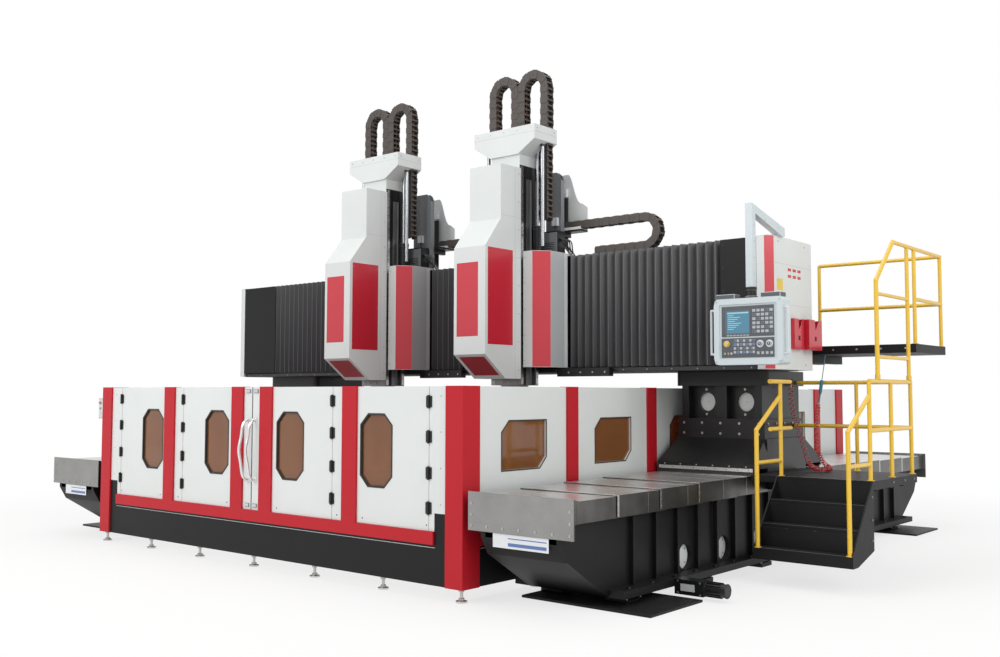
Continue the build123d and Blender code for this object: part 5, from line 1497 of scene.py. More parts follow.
@dataclass
class WayCovers:
    """Wiper rims, seams and screws of the telescopic way covers."""

    shop: Finishes
    centre: float = 3.408
    length: float = 1.366
    skirt: float = 0.170
    rim: float = 0.024
    proud: float = 0.0016
    head: Pair = (0.0014, 0.0045)

    def strip(self, piece: Piece, middle: float, y: Span, half: float, top: float,
              proud: float) -> None:
        """Wraps a thin strip round the top and both skirts of a cover box.

        Args:
            piece: the piece that gets it.
            middle: X of the box's middle.
            y: the strip's span along Y.
            half: half of the box's width.
            top: the height of its top.
            proud: how far the strip stands out.
        """
        piece.box(around(middle, half + proud), y, (top, top + proud), "bright_steel", 0.0004)
        for side in SIDES:
            piece.box(off(middle + side * half, side * proud), y, (top - self.skirt, top),
                      "bright_steel", 0.0004)

    def dress_box(self, piece: Piece, middle: float, outer: float, way: float, half: float,
                  top: float) -> None:
        """Adds rim, seams and screws to one cover box.

        Args:
            piece: the piece that gets them.
            middle: X of the box's middle.
            outer: Y of the end that slides over the next box.
            way: 1 where the box reaches from there towards +Y, else -1.
            half: half of its width.
            top: the height of its top.
        """
        self.strip(piece, middle, off(outer, way * self.rim), half, top, self.proud)
        for share in (1 / 3, 2 / 3):
            seam = off(outer + way * share * self.length, way * 0.003)
            self.strip(piece, middle, seam, half, top, 0.0007)
        y = outer + way * self.rim / 2
        length, radius = self.head
        piece.stubs(((middle + dx, y, top + self.proud)
                     for dx in steps(-half + 0.04, half - 0.04, 10)), UP, length, radius,
                    sides=10, soft=0.0005)
        for side in SIDES:
            piece.stubs(((middle + side * (half + self.proud), y, top - down)
                         for down in (0.03, 0.085, 0.14)), (side, 0, 0), length, radius,
                        sides=10, soft=0.0005)

    def build(self) -> None:
        """Dresses the boxes of every cover body."""
        bodies = {"front_way_cover_1": (Body.FRONT_COVER_1, SIDES[:1]),
                  "front_way_cover_2": (Body.FRONT_COVER_2, SIDES[:1]),
                  "rear_way_cover_1": (Body.REAR_COVER_1, SIDES[1:]),
                  "rear_way_cover_2": (Body.REAR_COVER_2, SIDES[1:]),
                  "moving_way_covers": (Body.GANTRY, SIDES)}
        for node, (body, ends) in bodies.items():
            piece = Piece(node + "_rims", self.shop)
            (_, right), (low, high), (_, top) = spans(node)
            for sy, sx in product(ends, SIDES):
                outer = low if sy < 0 else high
                self.dress_box(piece, sx * self.centre, outer, -sy, right - self.centre, top)
            piece.done(body)


@dataclass
class Columns:
    """Small parts of the two bridge columns: closing discs, bolts and wipers."""

    shop: Finishes
    centre: float = 3.408
    hole_height: float = 1.620
    hole_radius: float = 0.0955
    hole_offset: float = 0.218
    hole_faces: Pair = (-0.577, 0.083)
    faces: Pair = (-0.697, 0.203)
    skirts: Pair = (-1.037, 0.543)

    def discs(self) -> None:
        """Closes the core holes with pale discs set back in them."""
        piece = Piece("column_hole_discs", self.shop)
        for sx, dx, (face, way) in product(SIDES, SIDES, zip(self.hole_faces, SIDES)):
            x, z, out = sx * self.centre + dx * self.hole_offset, self.hole_height, (0, way, 0)
            piece.stubs([(x, face - way * 0.050, z)], out, 0.006, self.hole_radius, "white_paint",
                        40, 0.001)
            piece.bolts([(x, face - way * 0.044, z)], out, 0.008)
            piece.bolts(((x, face, z + dz * 0.128) for dz in SIDES), out, 0.010)
        piece.done(Body.GANTRY)

    def bolts(self) -> None:
        """Adds the bolts of the carriage, the skirts and the column's foot flange."""
        piece = Piece("column_bolts", self.shop)
        for sx in SIDES:
            middle = sx * self.centre
            for way, face, skirt in zip(SIDES, self.faces, self.skirts):
                piece.bolts(((middle + dx, face, z)
                             for dx, z in product(steps(-0.42, 0.42, 5), (1.405, 1.300))),
                            (0, way, 0), 0.010)
                piece.stubs(((middle + dx, skirt, 0.998) for dx in steps(-0.45, 0.45, 6)),
                            (0, way, 0), 0.004, 0.007, soft=0.001)
                piece.bolts(((middle + way * 0.485, y, 1.405) for y in steps(-0.62, 0.13, 5)),
                            (way, 0, 0), 0.010)
            piece.stubs(((middle, y, 1.9327) for y in (-0.60, 0.11)), DOWN, 0.0077, 0.02,
                        "black_bolt", 16, 0)
        piece.done(Body.GANTRY)

    def wipers(self) -> None:
        """Adds the sheet clamps and rubber lips of the skirts."""
        piece = Piece("skirt_wipers", self.shop)
        for sx, (y, way) in product(SIDES, zip(self.skirts, SIDES)):
            middle = sx * self.centre
            piece.box(around(middle, 0.520), off(y, way * 0.003), (0.950, 0.982), "bright_steel",
                      0.0008)
            piece.box(around(middle, 0.515), off(y - way * 0.002, -way * 0.008), (0.918, 0.950),
                      "black_rubber", 0.001)
            piece.stubs(((middle + dx, y + way * 0.003, 0.966) for dx in steps(-0.48, 0.48, 9)),
                        (0, way, 0), 0.0025, 0.005, "black_bolt", soft=0.0006)
        piece.done(Body.GANTRY)

    def build(self) -> None:
        """Shapes every small part of the columns."""
        self.discs()
        self.bolts()
        self.wipers()


@dataclass
class Crossbeam:
    """Coloured strips, seams, labels and bolts of the crossbeam and its end covers."""

    shop: Finishes
    half: float = 4.177
    thickness: float = 0.148
    front: float = -1.110
    chamfer: float = 0.067
    back: float = -0.190
    rear_chamfer: float = 0.025
    low: float = 1.938
    high: float = 3.220
    top: float = 3.185
    gap: float = 0.004
    skin: float = 0.0012
    ledge: float = -1.075
    end_sheets: tuple[Span, ...] = ((-4.027, -3.320), (3.645, 4.027))

    def strips(self) -> None:
        """Lays the red edges, the seams and the labels on the end covers."""
        piece = Piece("end_cover_strips", self.shop)
        z = (self.low + self.gap, self.high - self.gap)
        bevel, rear = self.front + self.chamfer, self.rear_chamfer
        for sx in SIDES:
            face = sx * self.half
            corner_strip(piece, sx, (face - sx * self.chamfer, self.front), (face, bevel), z)
            corner_strip(piece, sx, (face, self.back), (face - sx * rear, self.back + rear), z)
            label = off(face, sx * self.skin)
            for seam in (2.250, 2.570, 2.960):
                piece.box(off(face, sx * 0.0007), (bevel + self.gap, self.back - self.gap),
                          around(seam, 0.0015), "pale_grey_paint", 0)
            piece.box(label, (-0.980, -0.855), (2.700, 2.810), "label_yellow", 0.0004)
            for y, height in product((-0.700, -0.590, -0.480), (2.850, 2.915)):
                piece.box(label, around(y, 0.036), around(height, 0.014), "label_red", 0)
            piece.stubs(product((face,), (-0.95, -0.35), (1.99, 3.17)), (sx, 0, 0), 0.003, 0.009,
                        sides=16, soft=0.001)
            piece.stubs(product((face - sx * 0.085,), (-0.85, -0.35), (self.high,)), UP, 0.006,
                        0.020, "black_bolt", 20, 0.001)
        piece.done(Body.GANTRY)

    def rear(self) -> None:
        """Adds the panels and screws of the beam's back and the plugs in its top."""
        piece = Piece("beam_rear_panels", self.shop)
        bay, z = (self.half - self.thickness) / 4, (2.362, 3.048)
        for index in range(8):
            middle = (index - 3.5) * bay
            x0, x1 = around(middle, bay / 2 - 0.072)
            y = self.back - 0.034
            piece.box((x0, x1), (y - 0.006, y), z, "grey_paint")
            piece.bolts(product((x0 + 0.03, middle, x1 - 0.03), (y,), (z[0] + 0.03, z[1] - 0.03)),
                        BACK, 0.009)
        piece.stubs(product(steps(-3.95, 3.95, 22), (-0.25, -0.90), (self.top,)), UP, 0.005, 0.010,
                    "black_bolt", soft=0.001)
        piece.stubs(product((-3.6, -1.3, 1.3, 3.6), (-0.575,), (self.top,)), UP, 0.020, 0.030,
                    sides=20, soft=0.002)
        piece.done(Body.GANTRY)

    def lip(self) -> None:
        """Adds the rubber edge and screws along the ledge under the bellows."""
        piece = Piece("beam_ledge_trim", self.shop)
        front = self.ledge - 0.004
        piece.box(around(0.0, 4.025), (front, self.ledge), (1.935, 1.976), "black_rubber", 0.001)
        piece.stubs(product(steps(-3.95, 3.95, 28), (front,), (1.955,)), FRONT, 0.003, 0.006)
        piece.done(Body.GANTRY)

    def bellows_ends(self) -> None:
        """Adds the plain sheets that cover the folded ends of the outer bellows."""
        piece = Piece("bellows_end_sheets", self.shop)
        front = -1.1095
        for x0, x1 in self.end_sheets:
            piece.box((x0, x1), (front, front + 0.003), (1.990, 3.212), "floor_black_paint", 0.001)
            piece.stubs(product((x0 + 0.030, x1 - 0.030), (front,), steps(2.04, 3.16, 6)),
                        FRONT, 0.002, 0.006, "black_bolt", soft=0.0006)
        piece.done(Body.GANTRY)

    def build(self) -> None:
        """Shapes every small part of the beam."""
        self.strips()
        self.bellows_ends()
        self.rear()
        self.lip()


@dataclass
class Bellows:
    """The pleated cloth cover of the beam's front, between the bridge and a saddle."""

    shop: Finishes
    pitch: float = 0.096
    front: float = -1.105
    depth: float = 0.095
    low: float = 1.986
    high: float = 3.215
    hem: float = 0.012
    hem_inset: float = 0.006

    def outline(self, start: float, step: float, count: int) -> list[Pair]:
        """Returns X and Y along the folded edge.

        Args:
            start: X of the first fold.
            step: the distance from fold to fold.
            count: the number of folds.

        Returns:
            The points from the first valley to the last.
        """
        valley, crest = self.front + 0.62 * self.depth, self.front + 0.001
        fold = ((0.0, valley), (0.10, valley - 0.006), (0.40, crest + 0.008), (0.46, crest),
                (0.54, crest), (0.60, crest + 0.008), (0.90, valley - 0.006))
        found = [(start + (index + share) * step, y) for index in range(count)
                 for share, y in fold]
        return [*found, (start + count * step, valley)]

    def cover(self, node: str) -> None:
        """Folds one cover between two X positions.

        Args:
            node: the CAD node that it stands for.
        """
        start, end = span(node, Along.X)
        piece = Piece(node + "_pleats", self.shop)
        new_vert, new_face = piece.mesh.verts.new, piece.mesh.faces.new
        count = max(2, round((end - start) / self.pitch))
        step = (end - start) / count
        back, crest = self.front + self.depth, self.front + 0.001
        rows = []
        for z, inset in ((self.low, self.hem_inset), (self.low + self.hem, 0.0),
                         (self.high - self.hem, 0.0), (self.high, self.hem_inset)):
            rows.append([new_vert((x, y + inset, z)) for x, y in self.outline(start, step, count)])
        faces = []
        for row, after in zip(rows, rows[1:]):
            faces += [new_face((row[i], row[i + 1], after[i + 1], after[i]))
                      for i in range(len(row) - 1)]
        for row, way in ((rows[-1], 1), (rows[0], -1)):
            rear = [new_vert((vert.co.x, back, vert.co.z)) for vert in row]
            faces += [new_face((row[i], row[i + 1], rear[i + 1], rear[i])[::way])
                      for i in range(len(row) - 1)]
        piece.paint(faces, "bellows_cloth")
        # Pale strips along each crest: their lighter grey is a painted highlight on the folds.
        for index in range(count):
            piece.box(around(start + (index + 0.5) * step, 0.0018), (crest - 0.0005, crest + 0.004),
                      (self.low + 0.004, self.high - 0.004), "pleat_crest_highlight", 0)
        for x in ((start, start + 0.004), (end - 0.004, end)):
            piece.box(x, (self.front + 0.004, back), (self.low, self.high), "black_paint", 0)
        shown = piece.done(Body.GANTRY, [node], ride=False)
        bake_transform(shown)

    def build(self) -> None:
        """Folds all four covers."""
        self.cover("left_bellows")
        self.cover("middle_left_bellows")
        self.cover("middle_right_bellows")
        self.cover("right_bellows")


@dataclass
class Saddle:
    """Coloured strips, trough edge, cables, clamps and bolts of one saddle."""

    shop: Finishes
    side: Side
    middle: float
    post_right: float
    half: float = 0.505
    chamfer: float = 0.140
    front: float = -1.545
    low: float = 1.985
    high: float = 3.240
    gap: float = 0.004
    skin: float = 0.0012
    cheek_back: float = -1.160
    block_back: float = -1.0055
    post_left: float = 0.180
    drive_x: Span = (0.131, 0.451)
    drive_front: float = -1.1995
    gland: Pair = (0.262, -1.310)
    cables: int = 5

    def strips(self) -> None:
        """Lays the red chamfers and the pale grey cheeks on the cover, with their screws; the grey
        cheeks are painted shade on the white sides.
        """
        piece = Piece(f"{self.side.value}_saddle_strips", self.shop)
        z, bevel = (self.low + self.gap, self.high - self.gap), self.front + self.chamfer
        heights = steps(self.low + 0.07, self.high - 0.07, 5)
        for sx in SIDES:
            face = self.middle + sx * self.half
            corner_strip(piece, sx, (face - sx * self.chamfer, self.front), (face, bevel), z)
            # Pale grey cheek over the white side: painted shade of the side face.
            piece.box(off(face, sx * self.skin), (bevel + self.gap, self.cheek_back), z,
                      "pale_grey_paint", 0.0004)
            piece.stubs(product((face,), (-1.075,), heights), (sx, 0, 0), 0.003, 0.006)
            piece.stubs(product((self.middle + sx * 0.262,), (self.front,), heights),
                        FRONT, 0.002, 0.006)
        piece.done(self.side.saddle)

    def post(self) -> None:
        """Covers the chain post with its grey sheet and bolts it down."""
        piece = Piece(f"{self.side.value}_chain_post", self.shop)
        x0, x1 = self.middle + self.post_left, self.middle + self.post_right
        front, back = self.block_back - 0.054, self.block_back
        outline = [(x0, 3.212), (x1, 3.212), (x1, 4.082), (x1 - 0.028, 4.140), (x1 - 0.070, 4.172),
                   (x0, 4.172)]
        for ends in ((front - 0.002, front), (back, back + 0.002)):
            piece.prism(outline, Along.Y, ends, "grey_paint", 0.0006)
        piece.box((x1 - 0.004, x1), (front, back), (3.215, 4.080), "grey_paint", 0.001)
        piece.stubs(product((x0 + 0.025, x0 + 0.185), (front - 0.002,), steps(3.30, 4.02, 5)),
                    FRONT, 0.003, 0.006)
        piece.done(self.side.saddle)

    def trough(self) -> None:
        """Adds the folded edge, the clamp of the chain's end and screws to the trough."""
        node = f"{self.side.value}_chain_trough"
        piece = Piece(node + "_fittings", self.shop)
        (x0, x1), (y0, y1), (z0, z1) = spans(node)
        piece.box((x0 + 0.004, x1 - 0.004), (y0, y0 + 0.003), (z0 + 0.008, z0 + 0.030),
                  "white_paint", 0.0008)
        piece.box((x0 - 0.110, x0 + 0.001), (y1 - 0.008, y1), (z0 + 0.010, z1), "white_paint",
                  0.001)
        piece.box((x0 + 0.006, x0 + 0.060), (y1 - 0.020, y1 - 0.010), (z0 + 0.12, z0 + 0.20),
                  "pale_grey_paint")
        piece.box(around(x0 + 0.035, 0.030), (y1 - 0.040, y1 - 0.008), (z0 + 0.40, z0 + 0.49),
                  "label_white", 0.003)
        piece.stubs(product((x0 + 0.018,), (y1 - 0.008,), steps(z0 + 0.06, z0 + 0.58, 5)),
                    FRONT, 0.003, 0.005)
        piece.done(self.side.saddle)

    def wiring(self) -> None:
        """Runs looped cables from the drive box up into the trough."""
        piece = Piece(f"{self.side.value}_saddle_cables", self.shop)
        (left, _), (_, rear), _ = spans(f"{self.side.value}_chain_trough")
        x, top, rear = self.middle + self.drive_x[1] + 0.0005, 3.400, rear - 0.035
        for index in range(self.cables):
            y, bow, low = -1.165 + 0.020 * index, 0.040 + 0.016 * index, 3.330 - 0.022 * index
            rise = left + 0.014 + 0.016 * index
            route = [(x, y, top), (x + bow, y, top), (x + bow, y + 0.010, low),
                     (x + bow + 0.02, -1.040, low - 0.03), (rise, rear, low + 0.010),
                     (rise, rear, 3.520), (rise, rear, 3.900)]
            piece.tube(spline_points(route, 6), 0.0075, "black_cable")
            piece.stubs([(x, y, top)], (1, 0, 0), 0.018, 0.0095, "black_rubber", 6, 0.001)
        plug = self.middle + 0.327
        piece.box(around(plug, 0.035), (-1.110, -1.0615), (3.562, 3.659), "pale_plastic", 0.003)
        piece.stubs([(plug, -1.086, 3.562)], DOWN, 0.062, 0.008, "black_cable", 10, 0)
        piece.done(self.side.saddle)

    def drive(self) -> None:
        """Adds the lid, louvres and bolts of the drive box and the balance cylinders' glands."""
        piece = Piece(f"{self.side.value}_saddle_drive", self.shop)
        x0, x1 = (self.middle + offset for offset in self.drive_x)
        lid, black = self.drive_front - 0.003, "black_paint"
        piece.box((x0 + 0.010, x1 - 0.010), (lid, lid + 0.003), (3.225, 3.475), "grey_paint", 0.001)
        for z in steps(3.26, 3.36, 6):
            piece.box((x0 + 0.050, x1 - 0.050), (lid - 0.002, lid), around(z, 0.004), black, 0.0005)
        piece.stubs(product((x0 + 0.025, x1 - 0.025), (lid,), (3.240, 3.460)), FRONT, 0.003, 0.006)
        for dx in SIDES:
            x, y = self.middle + dx * self.gland[0], self.gland[1]
            piece.stubs([(x, y, 3.500)], UP, 0.036, 0.060, black, 28, 0.003)
            piece.screws(((x + a, y + b, 3.540) for a, b in circle(0.045, 6, 30)), UP, 0.0045)
            piece.tube([(x, -1.256, 2.66), (x, -1.252, 3.30)], 0.006, "zinc_bolt")
        piece.stubs(product(steps(self.middle - 0.40, self.middle + 0.10, 4), (-1.16, -1.06),
                            (3.210,)), UP, 0.006, 0.011, "black_bolt", 6, 0.001)
        piece.bolts(product(steps(self.middle + 0.58, self.middle + 1.05, 4), (-1.185,), (1.930,)),
                    FRONT, 0.008, height=0.5)
        piece.done(self.side.saddle)

    def build(self) -> None:
        """Shapes every small part of the saddle."""
        self.strips()
        self.post()
        self.trough()
        self.wiring()
        self.drive()


@dataclass
class Link:
    """One link of a drag chain: its middle, its angle in degrees and its length."""

    x: float
    z: float
    angle: float
    length: float

    def at(self, along: float, up: float) -> Pair:
        """Returns the X and Z of a place in the link."""
        dx, dz = heading(self.angle)
        return self.x + dx * along - dz * up, self.z + dz * along + dx * up


@dataclass
class DragChain:
    """A plastic drag chain: side plates, cross bars and the hoses that it carries."""

    shop: Finishes
    height: float = 0.090
    width: float = 0.110
    pitch: float = 0.062
    wall: float = 0.010
    overlap: float = 0.011
    hoses: tuple[tuple[float, float, float, str], ...] = (
        (-0.030, -0.010, 0.014, "brown_hose"), (0.002, 0.012, 0.012, "black_cable"),
        (0.030, -0.008, 0.013, "brown_hose"))

    def walk(self, start: Pair, angle: float, moves: Sequence[Pair]) -> list[Link]:
        """Walks along straight and turning stretches.

        Args:
            start: X and Z of the chain's first end.
            angle: the way it sets off, in degrees.
            moves: the length and the turn in degrees of each stretch.

        Returns:
            The links.
        """
        x, z = start
        found = []
        for length, turn in moves:
            count = max(1, round(length / self.pitch))
            link = length / count
            for _ in range(count):
                angle += turn / count / 2
                dx, dz = heading(angle)
                found.append(Link(x + dx * link / 2, z + dz * link / 2, angle, link))
                x, z = x + dx * link, z + dz * link
                angle += turn / count / 2
        return found

    def chain(self, piece: Piece, links: Sequence[Link], back: float) -> None:
        """Adds the links at their places.

        Args:
            piece: the piece that gets them.
            links: the links.
            back: Y of the chain's back.
        """
        finish, wall = "chain_plastic", self.wall
        for index, link in enumerate(links):
            narrow = 0.004 if index % 2 else 0.0
            tall = self.height / 2 - (0.003 if index % 2 else 0.0)
            reach = link.length / 2 + self.overlap
            corners = ((-1, -0.55), (-0.75, -1), (0.75, -1), (1, -0.55), (1, 0.55), (0.75, 1),
                       (-0.75, 1), (-1, 0.55))
            outline = [link.at(reach * a, tall * b) for a, b in corners]
            near, far = back - narrow, back - self.width + narrow
            for face, way in ((near, -wall), (far, wall)):
                piece.prism(outline, Along.Y, (face, face + way), finish, 0.001)
            for up in SIDES:
                bar = [link.at(a, u * up) for a, u in ((-0.010, tall - 0.008),
                                                       (0.010, tall - 0.008),
                                                       (0.010, tall - 0.001),
                                                       (-0.010, tall - 0.001))]
                piece.prism(bar, Along.Y, (back - wall, back - self.width + wall), finish)
            x, z = link.at(-link.length / 2, 0)
            for face, way in ((near, BACK), (far, FRONT)):
                piece.stubs([(x, face, z)], way, 0.002, 0.012, finish)

    def fill(self, piece: Piece, links: Sequence[Link], back: float) -> None:
        """Lays hoses and cables through the links.

        Args:
            piece: the piece that gets them.
            links: the links.
            back: Y of the chain's back.
        """
        for offset, up, radius, finish in self.hoses:
            y = back - self.width / 2 + offset
            path = [(x, y, z) for x, z in (link.at(0, up) for link in links)]
            piece.tube(path, radius, finish)

    def saddle_run(self, side: Side, middle: float, front: float) -> None:
        """Builds the chain that bends over behind the saddle.

        Args:
            side: the saddle's side.
            middle: X of its head.
            front: Y of the chain's front.
        """
        node = f"{side.value}_saddle_chain"
        piece = Piece(node + "_links", self.shop)
        start = (middle + 0.400, span(node, Along.Z)[1] - self.height / 2)
        links = self.walk(start, 0, ((1.018, 0), (math.pi * 0.152, -180), (0.620, 0)))
        self.chain(piece, links, front + self.width)
        self.fill(piece, links, front + self.width)
        piece.done(side.saddle, [node])

    def head_loops(self, side: Side, middle: float, slim: DragChain) -> None:
        """Builds the two loops over the head cap.

        Args:
            side: the head's side.
            middle: X of the head.
            slim: the narrower chain below the cap, where the saddle is close.
        """
        node = f"{side.value}_ram_chains"
        piece = Piece(node + "_links", self.shop)
        back = span(node, Along.Y)[1]
        foot, leg, radius = 4.6103, 3.600, 0.160
        bend = 5.290 - radius - 0.045
        for sx, end in zip(SIDES, (foot, leg)):
            x = middle + sx * 0.207 - radius
            links = self.walk((x, foot), 90, ((bend - foot, 0), (math.pi * radius, -180),
                                              (bend - end, 0)))
            self.chain(piece, [link for link in links if link.z > foot],
                       back + (self.width - slim.width) / 2)
            slim.chain(piece, [link for link in links if link.z <= foot], back)
            slim.fill(piece, links, back)
            for clamp_x in (x, x + 2 * radius)[:1 if sx > 0 else 2]:
                piece.box(around(clamp_x, 0.055), around(back - 0.055, 0.050),
                          (foot - 0.0001, foot + 0.012), "zinc_bolt")
        piece.done(side.head, [node])


@dataclass
class Head:
    """Panels, seams, guide rails, rods and spindle parts of one vertical head."""

    shop: Finishes
    side: Side
    middle: float
    half: float = 0.220
    front: float = -2.150
    bottom: float = 2.110
    chin: Pair = (-1.820, 1.860)
    top: float = 4.150
    back: float = -1.5603
    skin: float = 0.0015
    ram_half: float = 0.200
    spindle_y: float = -1.395
    rod_offsets: tuple[tuple[float, float, float, float], ...] = (
        (0.262, -1.310, 0.030, 3.440), (0.385, -1.390, 0.020, 3.300))
    cap_half: float = 0.430
    cap_y: Span = (-1.590, -1.190)
    cap_seam: float = 4.530
    cap_screws: float = 4.570

    def panels(self) -> None:
        """Lays the red panels on the front, the cheeks and the chin."""
        piece = Piece(f"{self.side.value}_head_panels", self.shop)
        x0, x1 = around(self.middle, self.half)
        front, skin = self.front, self.skin
        piece.box((x0 + 0.040, x1 - 0.100), (front - skin, front), (2.300, 3.080), "red_paint",
                  0.0005)
        for sx, face in zip(SIDES, (x0, x1)):
            out, line = (sx, 0, 0), off(face, sx * 0.0008)
            piece.box(off(face, sx * skin), (front + 0.040, -1.700), (2.215, 3.235), "red_paint",
                      0.0005)
            piece.box(line, (-1.660, -1.6575), (self.chin[1] + 0.01, self.top - 0.01),
                      "pale_grey_paint", 0)
            piece.box(line, (-1.895, self.back), around(3.600, 0.0013), "pale_grey_paint", 0)
            piece.stubs(product((face + sx * skin,), (front + 0.055, -1.715), steps(2.26, 3.19, 5)),
                        out, 0.0015, 0.005, "bright_steel", soft=0.0005)
            piece.stubs(product((face,), (-1.600,), steps(1.95, 4.08, 8)), out, 0.002, 0.006,
                        soft=0.0006)
        slope = Vector((0, self.chin[0] - front, self.chin[1] - self.bottom))
        foot = Vector((0, front, self.bottom))
        low, high = foot + slope * 0.86, foot + slope * 0.10
        piece.plate([(x0 + 0.045, low.y, low.z), (x1 - 0.045, low.y, low.z),
                     (x1 - 0.045, high.y, high.z), (x0 + 0.045, high.y, high.z)], skin,
                    "deep_red_paint", 0.0005)
        piece.done(self.side.head)

    def ram(self) -> None:
        """Adds the dark side sheets, the bright guide rails and the lower clamps of the ram."""
        piece = Piece(f"{self.side.value}_ram_rails", self.shop)
        black = "black_paint"
        for sx in SIDES:
            face = self.middle + sx * self.ram_half
            piece.box(off(face, sx * 0.001), (-1.5595, -1.2305), (4.051, 4.195), black, 0)
            for y in ((-1.500, -1.445), (-1.345, -1.290)):
                piece.box(off(face, sx * self.skin), y, (1.795, 4.190), black, 0.0004)
            for y in ((-1.545, -1.505), (-1.285, -1.245)):
                piece.box(off(face, sx * 0.012), y, (1.800, 4.185), "bright_steel", 0.0015)
                piece.stubs(product((face + sx * 0.012,), (sum(y) / 2,), steps(1.88, 4.14, 26)),
                            (sx, 0, 0), 0.001, 0.007, "black_bolt", soft=0)
        piece.bolts(((self.middle + dx, -1.560, 1.825) for dx in steps(-0.15, 0.15, 4)),
                    FRONT, 0.010)
        piece.done(self.side.head)

    def spindle(self) -> None:
        """Adds bolts, ring, drive keys and the taper's mouth to the spindle."""
        piece = Piece(f"{self.side.value}_spindle_nose", self.shop)
        x, y = self.middle, self.spindle_y
        piece.screws(((x + dx, y + dy, 1.735) for dx, dy in circle(0.128, 8)), DOWN, 0.010)
        for z, length, radius, finish, sides, soft in (
                (1.700, 0.012, 0.1065, "bright_steel", 48, 0.001),
                (1.648, 0.008, 0.1065, "bright_steel", 48, 0.001),
                (1.562, 0.004, 0.062, "chrome", 48, 0.0008),
                (1.559, 0.0015, 0.035, "black_rubber", 40, 0)):
            piece.stubs([(x, y, z)], DOWN, length, radius, finish, sides, soft)
        for sy in SIDES:
            piece.box(around(x, 0.0125), off(y + sy * 0.038, sy * 0.022), (1.545, 1.560),
                      "bright_steel", 0.001)
        piece.done(self.side.head)

    def rods(self) -> None:
        """Sleeves the balance and guide rods in chrome, with their nuts under the cap."""
        piece = Piece(f"{self.side.value}_head_rods", self.shop)
        for sx, (offset, y, radius, low) in product(SIDES, self.rod_offsets):
            x = self.middle + sx * offset
            piece.rod((x, y, low - 0.0005), (x, y, 4.410), radius + 0.0007, "rod_chrome", 32, 0.001)
            piece.stubs([(x, y, 4.400)], UP, 0.025, radius * 1.75, "black_bolt", 6, 0.002)
        piece.done(self.side.head)

    def cap(self) -> None:
        """Adds the seam, bolts and lifting screws of the cap."""
        piece = Piece(f"{self.side.value}_cap_fittings", self.shop)
        seam, grey, z = around(self.cap_seam, 0.0013), "pale_grey_paint", self.cap_screws
        for y, out in zip(self.cap_y, (FRONT, BACK)):
            piece.stubs(((self.middle + dx, y, z) for dx in steps(-0.38, 0.38, 5)), out, 0.003,
                        0.008, sides=14, soft=0.001)
        piece.box(around(self.middle, self.cap_half), off(self.cap_y[0], -0.0008), seam, grey, 0)
        for sx in SIDES:
            x = self.middle + sx * self.cap_half
            piece.box(off(x, sx * 0.0008), self.cap_y, seam, grey, 0)
            piece.stubs(((x, y, z) for y in (-1.54, -1.24)), (sx, 0, 0), 0.003, 0.008, sides=14,
                        soft=0.001)
            piece.stubs([(self.middle + sx * 0.10, -1.50, 4.610)], UP, 0.016, 0.018, "black_bolt",
                        6, 0.001)
        piece.done(self.side.head)

    def build(self) -> None:
        """Shapes every small part of the head."""
        self.panels()
        self.ram()
        self.spindle()
        self.rods()
        self.cap()


